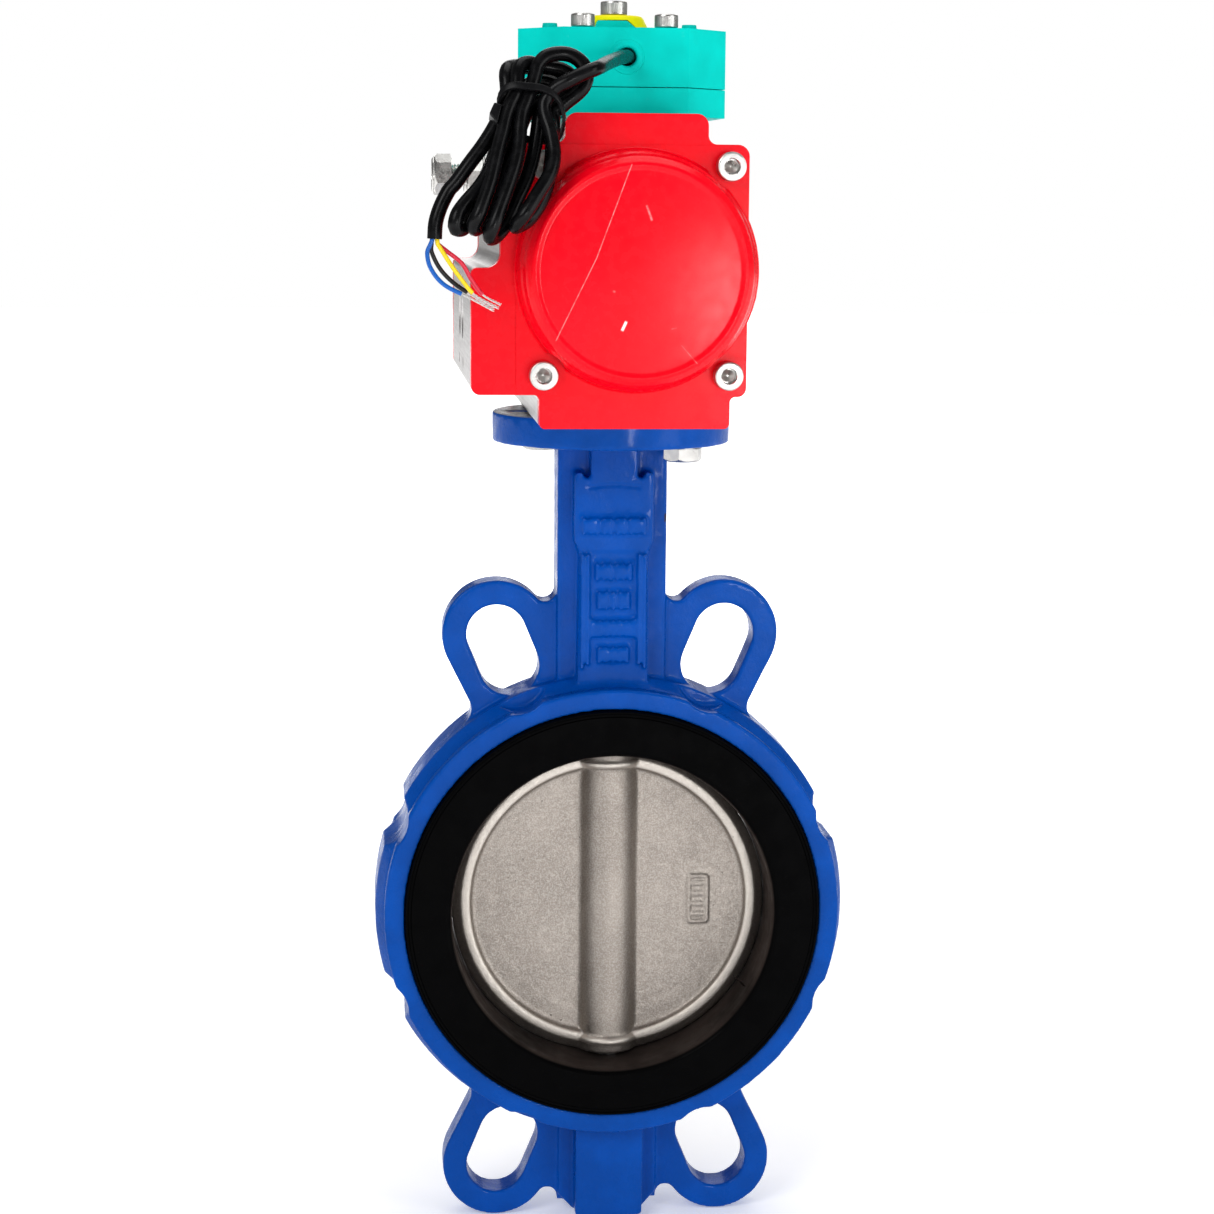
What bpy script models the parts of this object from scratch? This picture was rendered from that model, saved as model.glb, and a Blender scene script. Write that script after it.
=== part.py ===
"""Pneumatic actuated wafer butterfly valve, modelled as separate parts.

The origin is the centre of the bore, on the stem's axis. +Z runs up the stem, the flow runs along Y and
-Y is the front. Sizes in this file are millimetres, and the helpers turn them into Blender's metres.
"""

import math

import bmesh
import bpy
from mathutils import Matrix, Vector

MM = 0.001
GAP = 0.3  # between parts that touch
COARSE = 10  # sides of screws and small holes
ROUND = 16  # sides of stems, bushes and their holes
SHAFT = 24  # sides of the pinion and what it turns in
CYLINDER = 32  # sides of the pistons, the cylinder and the caps
FINE = 48  # sides of the bore, the liner and the disc

# Valve body, for a pipe of nominal size 125
FACE = 26.0  # half the body's length along the pipe
RING_R = 87.3
RIB_R = 90.5
SEAT_RECESS_R = 79.7
SEAT_RECESS_DEPTH = 5.0
BODY_BORE_R = 70.0
LUG_ANGLE = math.radians(67.5)  # of the upper right lug, from +X
LUG_SLOT_R = 107.9
LUG_SLOT_WIDTH = 23.0
LUG_SLOT_SHIFT = 6.5  # of each end's centre, in and out
LUG_HALF = 7.0
LUG_CENTRE = (43.7, 105.6)  # X and Z of the upper right lug's round end
LUG_R = 20.8
LUG_FILLET = (60.33, 76.58)  # where its outer side runs into the ring
LUG_FILLET_R = 7.0
RIM_NOTCH_PLACE_R = 98.0
RIM_NOTCH_R = 12.5
NECK_X = 20.8
NECK_Y = 10.0
COLUMN_X = 13.5
COLUMN_Y = 16.5
FLANGE_R = 45.0
FLANGE_LOW = 179.4
FLANGE_TOP = 190.7
BOLT_CIRCLE_R = 35.0
BOSS_LOW = -124.5

# Seat and disc
LINER_FACE = 28.0
LINER_FLANGE_R = 79.4
SEAT_R = 61.5
DISC_R = 61.1
HUB_R = 11.3
HUB_END = 60.3

# Stems
STEM_R = 9.0
STEM_BORE_R = 11.1
STEM_TOP = 208.0
STEM_SQUARE = 14.0
STUB_R = 8.0
STUB_BORE_R = 10.1

# Actuator, whose axis runs along Y
ACT_Z = 245.6
ACT_LOW = 191.0
ACT_TOP = 299.2
ACT_SHOULDER = 288.9
ACT_RIGHT = 39.0
ACT_LEFT = -46.8
PAD_LEFT = -56.9
PAD_TOP = 246.4
PAD_LOW = 202.8
ACT_BULGE_R = 42.9
ACT_HALF = 78.0
CYLINDER_R = 37.5
CAP_FACE = 87.0
CAP_DOME_R = 42.7
CAP_DOME_FACE = 103.5
CAP_SCREW_X = 32.1
CAP_SCREW_Z = (209.8, 281.4)
PORT_Y = 12.0
PORT_Z = 226.0
STOP_Y = 15.0
STOP_Z = 278.8
STOP_TIP = -12.3

# Rack and pinion
TEETH = 15
MODULE = 2.0
PITCH_R = TEETH * MODULE / 2
PRESSURE = math.radians(20)
ADDENDUM = 1.6
DEDENDUM = 2.2
BACKLASH = 0.5
GEAR_Z = (230.6, 260.6)
RACK_HALF_Z = 13.0
RACK_BACK = 32.0
PISTON_R = 37.0
PISTON_NEAR = 34.0
PISTON_FAR = 46.0
CAM_R = 20.0
CAM_FLAT = 12.0
CAM_Z = (272.0, 283.5)
CAM_POCKET_R = 21.5
CAM_POCKET_TOP = 284.0
PINION_TOP = 306.0

# Sensor box
BOX_X = 37.7
BOX_Y = 47.0
BOX_CORNER = 15.3
BOX_LOW = 299.5
BOX_SPLIT = 309.8
BOX_TOP = 330.5
SENSOR_SCREW = (15.0, 40.0)
GLAND = (0.3, 320.2)  # X and Z of the cable gland's axis
PUCK_TOP = 337.4

# Cable
CABLE_R = 2.5
CORE_R = 0.75
HANK_TILT = math.radians(20)
HANK_WAIST = (-38.0, -97.5, 299.5)
HANK_HALF = 6.0


# ---------------------------------------------------------------- helpers


def collection(name):
    made = bpy.data.collections.new(name)
    bpy.context.scene.collection.children.link(made)
    return made


def clear_scene():
    for obj in list(bpy.data.objects):
        bpy.data.objects.remove(obj, do_unlink=True)


clear_scene()
PARTS = collection("pneumatic_actuated_valve")
TOOLS = collection("cutters")


def add_object(name, data, tool=False):
    obj = bpy.data.objects.new(name, data)
    (TOOLS if tool else PARTS).objects.link(obj)
    if tool:
        obj.hide_render = True
        obj.display_type = "WIRE"
    return obj


def add_empty(name, place):
    """The axis or guide that a moving part hangs on."""
    obj = bpy.data.objects.new(name, None)
    PARTS.objects.link(obj)
    obj.location = Vector(place) * MM
    return obj


def material(name, colour, roughness, metallic=0.0):
    made = bpy.data.materials.new(name)
    made.use_nodes = True
    shader = made.node_tree.nodes["Principled BSDF"]
    shader.inputs["Base Color"].default_value = (*colour, 1.0)
    shader.inputs["Roughness"].default_value = roughness
    shader.inputs["Metallic"].default_value = metallic
    return made


def axis_matrix(axis):
    """Turns local +Z onto the named axis; local X stays level."""
    turns = {
        "Z": Matrix.Identity(4),
        "Y": Matrix.Rotation(math.radians(-90), 4, "X"),
        "X": Matrix.Rotation(math.radians(90), 4, "Y"),
    }
    return turns[axis]


def box(name, low, high, tool=False):
    low, high = Vector(low) * MM, Vector(high) * MM
    mesh = bpy.data.meshes.new(name)
    form = bmesh.new()
    place = Matrix.Translation((low + high) / 2) @ Matrix.Diagonal((*(high - low), 1))
    bmesh.ops.create_cube(form, size=1, matrix=place)
    form.to_mesh(mesh)
    form.free()
    return add_object(name, mesh, tool)


def cylinder(name, centre, axis, radius, start, end, sides=COARSE, tool=False, top_radius=None):
    """A cylinder or cone. centre gives the axis, and start and end are coordinates along it."""
    top_radius = radius if top_radius is None else top_radius
    middle = Vector(centre)
    middle["XYZ".index(axis)] = (start + end) / 2
    mesh = bpy.data.meshes.new(name)
    form = bmesh.new()
    bmesh.ops.create_cone(
        form,
        cap_ends=True,
        segments=sides,
        radius1=radius * MM,
        radius2=top_radius * MM,
        depth=(end - start) * MM,
        matrix=Matrix.Translation(middle * MM) @ axis_matrix(axis),
    )
    form.to_mesh(mesh)
    form.free()
    return add_object(name, mesh, tool)


def turned(name, profile, axis="Z", centre=(0, 0, 0), sides=ROUND, closed=False, tool=False):
    """Turns a profile of (radius, height) points, which run down the outer side, about an axis."""
    mesh = bpy.data.meshes.new(name)
    form = bmesh.new()
    points = [form.verts.new((radius * MM, 0, height * MM)) for radius, height in profile]
    for first, second in zip(points, points[1:]):
        form.edges.new((first, second))
    if closed:
        form.edges.new((points[-1], points[0]))
    form.to_mesh(mesh)
    form.free()
    obj = add_object(name, mesh, tool)
    obj.matrix_world = Matrix.Translation(Vector(centre) * MM) @ axis_matrix(axis)
    screw = obj.modifiers.new("turn", "SCREW")
    screw.steps = sides
    screw.render_steps = sides
    screw.use_merge_vertices = True
    screw.merge_threshold = 0.00001
    screw.use_smooth_shade = True
    return obj


def ring(name, inner, outer, low, high, axis="Z", centre=(0, 0, 0), sides=ROUND, tool=False):
    profile = [(outer, high), (outer, low), (inner, low), (inner, high)]
    return turned(name, profile, axis, centre, sides, closed=True, tool=tool)


def o_ring(name, radius, thickness, height, axis="Z", centre=(0, 0, 0), sides=ROUND):
    """A round-section seal ring."""
    section = [
        (
            radius + thickness * math.cos(turn),
            height + thickness * math.sin(turn),
        )
        for turn in (math.radians(45 - 90 * step) for step in range(4))
    ]
    return turned(name, section, axis, centre, sides, closed=True)


def arc(centre, radius, start, end, steps):
    """Points of an arc, angles in degrees from the first axis."""
    turns = (math.radians(start + (end - start) * step / steps) for step in range(steps + 1))
    return [(centre[0] + radius * math.cos(turn), centre[1] + radius * math.sin(turn)) for turn in turns]


def rounded(corners, steps=2):
    """The outline through corners of (u, v, fillet radius)."""
    points = []
    for index, (u, v, radius) in enumerate(corners):
        here = Vector((u, v))
        before = (Vector(corners[index - 1][:2]) - here).normalized()
        after = (Vector(corners[(index + 1) % len(corners)][:2]) - here).normalized()
        if radius == 0:
            points.append((u, v))
            continue
        half = before.angle(after) / 2
        middle = here + (before + after).normalized() * (radius / math.sin(half))
        first = here + before * (radius / math.tan(half)) - middle
        last = here + after * (radius / math.tan(half)) - middle
        for step in range(steps + 1):
            spoke = first.lerp(last, step / steps).normalized() * radius
            points.append(tuple(middle + spoke))
    return points


def mesh_of_curve(curve_object, tool=False):
    """Replaces a curve object by its closed mesh."""
    graph = bpy.context.evaluated_depsgraph_get()
    mesh = bpy.data.meshes.new_from_object(curve_object.evaluated_get(graph))
    form = bmesh.new()
    form.from_mesh(mesh)
    bmesh.ops.remove_doubles(form, verts=form.verts, dist=0.000001)
    bmesh.ops.recalc_face_normals(form, faces=form.faces)
    form.to_mesh(mesh)
    form.free()
    name = curve_object.name
    place = curve_object.matrix_world.copy()
    bpy.data.objects.remove(curve_object, do_unlink=True)
    obj = add_object(name, mesh, tool)
    obj.matrix_world = place
    return obj


def prism(name, loops, normal, low, high, tool=False):
    """A flat outline made thick. A Y normal takes (X, Z) points, an X one (Y, Z) and a Z one (X, Y)."""
    turns = {
        "Z": Matrix.Identity(4),
        "Y": Matrix.Rotation(math.radians(90), 4, "X"),
        "X": Matrix.Rotation(math.radians(90), 4, "Z") @ Matrix.Rotation(math.radians(90), 4, "X"),
    }
    curve = bpy.data.curves.new(name, "CURVE")
    curve.dimensions = "2D"
    curve.fill_mode = "BOTH"
    curve.extrude = (high - low) / 2 * MM
    for loop in loops:
        spline = curve.splines.new("POLY")
        spline.points.add(len(loop) - 1)
        for point, (u, v) in zip(spline.points, loop):
            point.co = (u * MM, v * MM, 0, 1)
        spline.use_cyclic_u = True
    obj = add_object(name, curve, tool)
    centre = Vector((0, 0, 0))
    centre["XYZ".index(normal)] = (low + high) / 2 * MM
    obj.matrix_world = Matrix.Translation(centre) @ turns[normal]
    bpy.context.view_layer.update()
    return mesh_of_curve(obj, tool)


def boolean(target, operation, *tools):
    for tool in tools:
        change = target.modifiers.new(tool.name, "BOOLEAN")
        change.operation = operation
        change.object = tool


def cut(target, *tools):
    boolean(target, "DIFFERENCE", *tools)


def join(target, *tools):
    boolean(target, "UNION", *tools)


def hexagon(across_flats, turn=0.0):
    radius = across_flats / 2 / math.cos(math.radians(30))
    return arc((0, 0), radius, turn, turn + 300, 5)


def baked_mesh(obj):
    """The mesh of an object with its modifiers and place applied; the object itself is removed."""
    bpy.context.view_layer.update()
    graph = bpy.context.evaluated_depsgraph_get()
    mesh = bpy.data.meshes.new_from_object(obj.evaluated_get(graph))
    mesh.transform(obj.matrix_world)
    bpy.data.objects.remove(obj, do_unlink=True)
    return mesh


def finish(obj, look, parent=None):
    """Gives a part its material, and its place under the axis that it moves on."""
    if obj.type == "MESH" and not obj.data.materials:
        obj.data.materials.append(look)
    elif obj.type == "CURVE":
        obj.data.materials.append(look)
    if parent is not None:
        place = obj.matrix_world.copy()
        obj.parent = parent
        obj.matrix_parent_inverse = Matrix.Translation(parent.location).inverted()
        obj.matrix_world = place
    return obj


def smooth_route(points, spacing):
    """Evenly spaced points on a smooth curve through the given points (centripetal spline)."""
    knots = [Vector(point) for point in points]
    knots = [knots[0] * 2 - knots[1]] + knots + [knots[-1] * 2 - knots[-2]]
    dense = []
    for index in range(1, len(knots) - 2):
        before, start, end, after = knots[index - 1 : index + 3]
        for step in range(20):
            t = step / 20
            point = (
                start * 2
                + (end - before) * t
                + (before * 2 - start * 5 + end * 4 - after) * t**2
                + (start * 3 - before - end * 3 + after) * t**3
            ) * 0.5
            dense.append(point)
    dense.append(knots[-2])
    lengths = [0.0]
    for first, second in zip(dense, dense[1:]):
        lengths.append(lengths[-1] + (second - first).length)
    count = max(2, round(lengths[-1] / spacing))
    route, place = [], 0
    for step in range(count + 1):
        wanted = lengths[-1] * step / count
        while place < len(dense) - 2 and lengths[place + 1] < wanted:
            place += 1
        part = (wanted - lengths[place]) / (lengths[place + 1] - lengths[place])
        route.append(dense[place].lerp(dense[place + 1], min(1.0, part)))
    return route


def tube(name, points, radius, spacing, look):
    """A cable or core along a route."""
    curve = bpy.data.curves.new(name, "CURVE")
    curve.dimensions = "3D"
    curve.bevel_depth = radius * MM
    curve.bevel_resolution = 2
    curve.use_fill_caps = True
    route = smooth_route(points, spacing)
    spline = curve.splines.new("POLY")
    spline.points.add(len(route) - 1)
    for point, place in zip(spline.points, route):
        point.co = (*(place * MM), 1)
    return finish(add_object(name, curve), look)


# -------------------------------------------------------------- materials

BLUE_PAINT = material("blue epoxy", (0.003, 0.09, 0.42), 0.35)
RED_PAINT = material("red paint", (0.75, 0.01, 0.03), 0.3)
RUBBER = material("black rubber", (0.015, 0.015, 0.015), 0.6)
CAST_STEEL = material("cast stainless steel", (0.47, 0.44, 0.4), 0.5, 1.0)
STEEL = material("stainless steel", (0.7, 0.69, 0.67), 0.25, 1.0)
ALLOY = material("anodised aluminium", (0.72, 0.72, 0.72), 0.4, 1.0)
BRONZE = material("bearing bronze", (0.55, 0.35, 0.14), 0.4, 1.0)
NYLON = material("white acetal", (0.8, 0.8, 0.76), 0.45)
TEAL = material("teal plastic", (0.0, 0.5, 0.42), 0.4)
YELLOW = material("yellow plastic", (0.9, 0.75, 0.02), 0.4)
CABLE_BLACK = material("black cable", (0.02, 0.02, 0.025), 0.35)
BOARD = material("green circuit board", (0.02, 0.2, 0.06), 0.4)
CORE_COLOURS = {
    "blue": (0.0, 0.2, 0.7),
    "black": (0.03, 0.03, 0.03),
    "yellow": (0.95, 0.75, 0.05),
    "red": (0.85, 0.1, 0.15),
}


# -------------------------------------------------------------- valve body


def lug_slot(sign_x, sign_z):
    """The outline of one lug's slot, which points at the bore's centre."""
    along = Vector((math.cos(LUG_ANGLE), math.sin(LUG_ANGLE)))
    radius = LUG_SLOT_WIDTH / 2
    degrees = math.degrees(LUG_ANGLE)
    outer = along * (LUG_SLOT_R + LUG_SLOT_SHIFT)
    inner = along * (LUG_SLOT_R - LUG_SLOT_SHIFT)
    outline = arc(outer, radius, degrees - 90, degrees + 90, 6)
    outline += arc(inner, radius, degrees + 90, degrees + 270, 6)
    return [(x * sign_x, z * sign_z) for x, z in outline]


def half_lug_outline(notch, notch_r, side_x, side_end):
    """The right half of a pair of lugs, from the neck's side round the lug to inside the ring."""
    toward_notch = math.degrees(math.atan2(notch[1] - LUG_CENTRE[1], notch[0] - LUG_CENTRE[0]))
    outline = [(side_x, side_end)]
    outline += arc(notch, notch_r, 180, 180 + toward_notch, 4)
    outline += arc(LUG_CENTRE, LUG_R, toward_notch, -26.4, 9)
    outline += arc(LUG_FILLET, LUG_FILLET_R, 153.6, 231.8, 3)
    outline.append((50.0, 60.0))
    return outline


def lug_plate(name, notch, notch_r, side_x, side_end, sign_z):
    """Two lugs and the web between them, with their slots."""
    right = half_lug_outline(notch, notch_r, side_x, side_end)
    whole = [(x, z * sign_z) for x, z in right] + [(-x, z * sign_z) for x, z in reversed(right)]
    slots = [lug_slot(side, sign_z) for side in (1, -1)]
    return prism(name, [whole] + slots, "Y", -LUG_HALF, LUG_HALF, tool=True)


def flange_holes():
    """Eight holes: four in use for this actuator and four for the other flange turning."""
    places = arc((0, 0), BOLT_CIRCLE_R, 0, 315, 7)
    return [
        cylinder(f"flange_hole_{index}", (x, y, 0), "Z", 4.5, FLANGE_LOW - 3, FLANGE_TOP + 3, tool=True)
        for index, (x, y) in enumerate(places)
    ]


def make_valve_body():
    profile = [
        (RING_R, FACE),
        (RING_R, 18.5),
        (RIB_R, 12.0),
        (RIB_R, -12.0),
        (RING_R, -18.5),
        (RING_R, -FACE),
        (SEAT_RECESS_R, -FACE),
        (SEAT_RECESS_R, SEAT_RECESS_DEPTH - FACE),
        (BODY_BORE_R, SEAT_RECESS_DEPTH - FACE),
        (BODY_BORE_R, FACE - SEAT_RECESS_DEPTH),
        (SEAT_RECESS_R, FACE - SEAT_RECESS_DEPTH),
        (SEAT_RECESS_R, FACE),
    ]
    body = turned("valve_body", profile, "Y", sides=FINE, closed=True)
    for index, turn in enumerate(math.radians(angle) for angle in (22.5, 157.5, 202.5, 337.5)):
        spot = Vector((math.cos(turn), 0, math.sin(turn))) * RIM_NOTCH_PLACE_R
        cut(body, cylinder(f"rim_notch_{index}", spot, "Y", RIM_NOTCH_R, -30, 30, tool=True))
    upper = lug_plate("upper_lugs", (25.3, 122.75), 4.5, NECK_X, 130.0, 1)
    lower = lug_plate("lower_lugs", (23.5, 120.0), 4.0, 19.5, 121.0, -1)
    neck = box("neck_plate", (-NECK_X, -NECK_Y, 84), (NECK_X, NECK_Y, FLANGE_LOW + 1), tool=True)
    column_side = [
        (COLUMN_X, 84, 0),
        (12.9, 137, 0),
        (15, 142, 0),
        (15, 168, 2),
        (8.8, 168, 0),
        (8.8, FLANGE_LOW + 1, 0),
    ]
    column_outline = rounded(column_side + [(-x, z, r) for x, z, r in reversed(column_side)])
    column = prism("column", [column_outline], "Y", -COLUMN_Y, COLUMN_Y, tool=True)
    boss_side = [(13.1, -84, 0), (13.1, BOSS_LOW, 1.5)]
    boss_outline = rounded(boss_side + [(-x, z, r) for x, z, r in reversed(boss_side)])
    boss = prism("lower_boss", [boss_outline], "Y", -17.5, 17.5, tool=True)
    web_side = [(19.2, -84, 0), (19.2, -118, 0), (13.5, BOSS_LOW, 0)]
    web_outline = rounded(web_side + [(-x, z, r) for x, z, r in reversed(web_side)])
    web = prism("lower_web", [web_outline], "Y", -9, 9, tool=True)
    flange = cylinder("top_flange", (0, 0, 0), "Z", FLANGE_R, FLANGE_LOW, FLANGE_TOP, 40, tool=True)
    join(body, upper, lower, neck, column, boss, web, flange)
    bore = cylinder("pipe_bore", (0, 0, 0), "Y", BODY_BORE_R, -FACE, FACE, FINE, tool=True)
    stem_bore = cylinder("stem_bore", (0, 0, 0), "Z", STEM_BORE_R, 50, 200, ROUND, tool=True)
    ring_groove = cylinder("ring_groove", (0, 0, 0), "Z", 12.4, 188.3, 190.1, ROUND, tool=True)
    stub_bore = cylinder("stub_bore", (0, 0, 0), "Z", STUB_BORE_R, -130, -50, ROUND, tool=True)
    cut(body, bore, stem_bore, ring_groove, stub_bore, *flange_holes())
    finish(body, BLUE_PAINT)


def make_seat_liner():
    back = FACE - SEAT_RECESS_DEPTH + GAP
    profile = [
        (LINER_FLANGE_R, LINER_FACE),
        (LINER_FLANGE_R, back),
        (BODY_BORE_R - GAP, back),
        (BODY_BORE_R - GAP, -back),
        (LINER_FLANGE_R, -back),
        (LINER_FLANGE_R, -LINER_FACE),
        (63.3, -LINER_FACE),
        (SEAT_R, 2.0 - LINER_FACE),
        (SEAT_R, LINER_FACE - 2.0),
        (63.3, LINER_FACE),
    ]
    liner = turned("seat_liner", profile, "Y", sides=FINE, closed=True)
    upper = cylinder("liner_stem_hole", (0, 0, 0), "Z", STEM_R + 0.4, 50, 80, ROUND, tool=True)
    lower = cylinder("liner_stub_hole", (0, 0, 0), "Z", STUB_R + 0.4, -80, -50, ROUND, tool=True)
    cut(liner, upper, lower)
    finish(liner, RUBBER)


def square_drive(across, corner_r):
    """A square with its corners turned off, as (X, Y) points."""
    half = across / 2
    other = math.sqrt(corner_r**2 - half**2)
    quarter = [(half, -other), (half, other)]
    outline = []
    for turn in range(4):
        spin = Matrix.Rotation(math.radians(90 * turn), 2)
        outline += [tuple(spin @ Vector(point)) for point in quarter]
    return outline


def make_disc(axis):
    profile = [
        (0, 4.0),
        (53.6, 4.0),
        (54.3, 6.4),
        (57.2, 6.6),
        (DISC_R, 4.4),
        (DISC_R, -4.4),
        (57.2, -6.6),
        (54.3, -6.4),
        (53.6, -4.0),
        (0, -4.0),
    ]
    disc = turned("disc", profile, "Y", sides=FINE)
    hub = cylinder("disc_hub", (0, 0, 0), "Z", HUB_R, -HUB_END, HUB_END, SHAFT, tool=True)
    join(disc, hub)
    socket = prism("disc_socket", [square_drive(STEM_SQUARE + 0.6, STEM_R + GAP)], "Z", 25.5, 65, tool=True)
    stub_socket = cylinder("disc_stub_socket", (0, 0, 0), "Z", STUB_R + GAP, -65, -29.5, ROUND, tool=True)
    cut(disc, socket, stub_socket)
    finish(disc, CAST_STEEL, axis)


# ------------------------------------------------------------------ stems


def make_stems(axis):
    grooves = [104.0, 112.0]
    profile = [(0, 190.0), (STEM_R, 190.0)]
    for middle in reversed(grooves):
        profile += [(STEM_R, middle + 1.8), (8.0, middle + 1.8), (8.0, middle - 1.8), (STEM_R, middle - 1.8)]
    profile += [(STEM_R, 60.8), (0, 60.8)]
    stem = turned("upper_stem", profile, sides=ROUND)
    drive = [square_drive(STEM_SQUARE, STEM_R - 0.01)]
    top = prism("stem_top_square", drive, "Z", 189.0, STEM_TOP, tool=True)
    bottom = prism("stem_lower_square", drive, "Z", 26.0, 62.0, tool=True)
    join(stem, top, bottom)
    finish(stem, STEEL, axis)
    stub = turned(
        "lower_stem",
        [(0, -30.0), (7.0, -30.0), (STUB_R, -31.0), (STUB_R, -117.0), (7.0, -118.0), (0, -118.0)],
    )
    finish(stub, STEEL, axis)
    for name, low, high in (("upper_bush", 172.0, 188.0), ("middle_bush", 122.0, 138.0)):
        finish(ring(name, STEM_R + GAP, STEM_BORE_R - GAP, low, high), NYLON)
    finish(ring("lower_bush", STUB_R + GAP, STUB_BORE_R - GAP, -112.0, -78.0), NYLON)
    for name, middle in zip(("stem_o_ring_lower", "stem_o_ring_upper"), grooves):
        finish(o_ring(name, 9.55, 1.2, middle), RUBBER)
    snap = arc((0, 0), 11.9, 20, 340, 14) + arc((0, 0), 9.5, 340, 20, 14)
    finish(prism("stem_snap_ring", [snap], "Z", 188.6, 189.8), STEEL)
    plug = cylinder("bottom_plug", (0, 0, 0), "Z", STUB_BORE_R - GAP, BOSS_LOW + GAP, -119.0, ROUND)
    cut(plug, prism("plug_socket", [hexagon(6.0)], "Z", -126, -121.5, tool=True))
    finish(plug, STEEL)


# --------------------------------------------------------------- fasteners


def hex_bolt_mesh(name, across, head, radius, length):
    """A hexagon bolt along Z, its head below 0 and its shank above."""
    bolt = cylinder(name, (0, 0, 0), "Z", radius, -1.0, length, COARSE)
    join(bolt, prism(name + "_head", [hexagon(across)], "Z", -head, 0, tool=True))
    return baked_mesh(bolt)


def socket_screw_mesh(name, head_r, head, radius, length, key):
    """A socket head screw along Z, its head above 0 and its shank below."""
    profile = [
        (0, head),
        (head_r, head),
        (head_r, 0),
        (radius, 0),
        (radius, -length),
        (0, -length),
    ]
    screw = turned(name, profile, sides=12)
    cut(screw, prism(name + "_key", [hexagon(key)], "Z", head * 0.45, head + 1, tool=True))
    return baked_mesh(screw)


def place_copies(mesh, places, look, parent=None):
    """Puts a fastener's mesh at each (name, place, rotation)."""
    for name, place, rotation in places:
        obj = add_object(name, mesh)
        obj.matrix_world = Matrix.Translation(Vector(place) * MM) @ rotation.to_4x4()
        finish(obj, look, parent)


def make_flange_bolts():
    reach = BOLT_CIRCLE_R * math.cos(math.radians(45))
    head_seat = FLANGE_LOW - GAP
    mesh = hex_bolt_mesh("flange_bolt", 13.0, 5.3, 3.9, 24.0)
    places = [
        ("flange_bolt_front", (reach, -reach, head_seat), Matrix.Rotation(math.radians(12), 3, "Z")),
        ("flange_bolt_rear", (-reach, reach, head_seat), Matrix.Rotation(math.radians(-8), 3, "Z")),
    ]
    place_copies(mesh, places, STEEL)


def make_cap_screws():
    mesh = socket_screw_mesh("cap_screw", 5.0, 6.0, 2.8, 23.0, 5.0)
    places = []
    for side, label, turn in ((-1, "front", 90), (1, "rear", -90)):
        spots = [(x, z) for z in CAP_SCREW_Z for x in (-CAP_SCREW_X, CAP_SCREW_X)]
        for number, (x, z) in enumerate(spots, 1):
            place = (x, side * (CAP_FACE + GAP), z)
            places.append((f"cap_screw_{label}_{number}", place, Matrix.Rotation(math.radians(turn), 3, "X")))
    place_copies(mesh, places, STEEL)


def make_stop_bolts():
    onto_x = Matrix.Rotation(math.radians(90), 3, "Y")
    bolt = hex_bolt_mesh("stop_bolt", 13.0, 6.5, 3.9, STOP_TIP + 61.0)
    nut = prism("stop_nut", [hexagon(13.0), arc((0, 0), 4.2, 0, 345, 15)], "Z", -6.2, 0)
    nut_mesh = baked_mesh(nut)
    for side, label in ((-1, "front"), (1, "rear")):
        spot = Vector((-61.0, side * STOP_Y, STOP_Z))
        place_copies(bolt, [(f"stop_bolt_{label}", spot, onto_x)], STEEL)
        seat = Vector((ACT_LEFT - 2.0 - GAP, side * STOP_Y, STOP_Z))
        place_copies(nut_mesh, [(f"stop_nut_{label}", seat, onto_x)], STEEL)


# ---------------------------------------------------------------- actuator


def actuator_outline():
    """The housing's section, which both end caps share, as (X, Z) points."""
    swing = math.degrees(math.acos(ACT_RIGHT / ACT_BULGE_R))
    bulge = arc((0, ACT_Z), ACT_BULGE_R, -swing, swing, 6)
    corners = [
        (33.3, ACT_LOW, 2),
        (33.3, 202.2, 2),
        (ACT_RIGHT, 202.2, 3),
    ]
    corners += [(x, z, 0) for x, z in bulge]
    corners += [
        (ACT_RIGHT, ACT_SHOULDER, 4),
        (24.7, ACT_SHOULDER, 3),
        (24.7, ACT_TOP, 4),
        (-24.7, ACT_TOP, 4),
        (-24.7, ACT_SHOULDER, 3),
        (ACT_LEFT, ACT_SHOULDER, 3),
        (ACT_LEFT, PAD_TOP, 5),
        (PAD_LEFT, PAD_TOP, 2),
        (PAD_LEFT, PAD_LOW, 3),
        (-33.3, PAD_LOW, 2),
        (-33.3, ACT_LOW, 2),
    ]
    return rounded(corners, steps=2)


def screw_holes(label, radius, low, high):
    return [
        cylinder(f"{label}_{index}", (x, 0, z), "Y", radius, low, high, 12, tool=True)
        for index, (x, z) in enumerate((x, z) for z in CAP_SCREW_Z for x in (-CAP_SCREW_X, CAP_SCREW_X))
    ]


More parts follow.
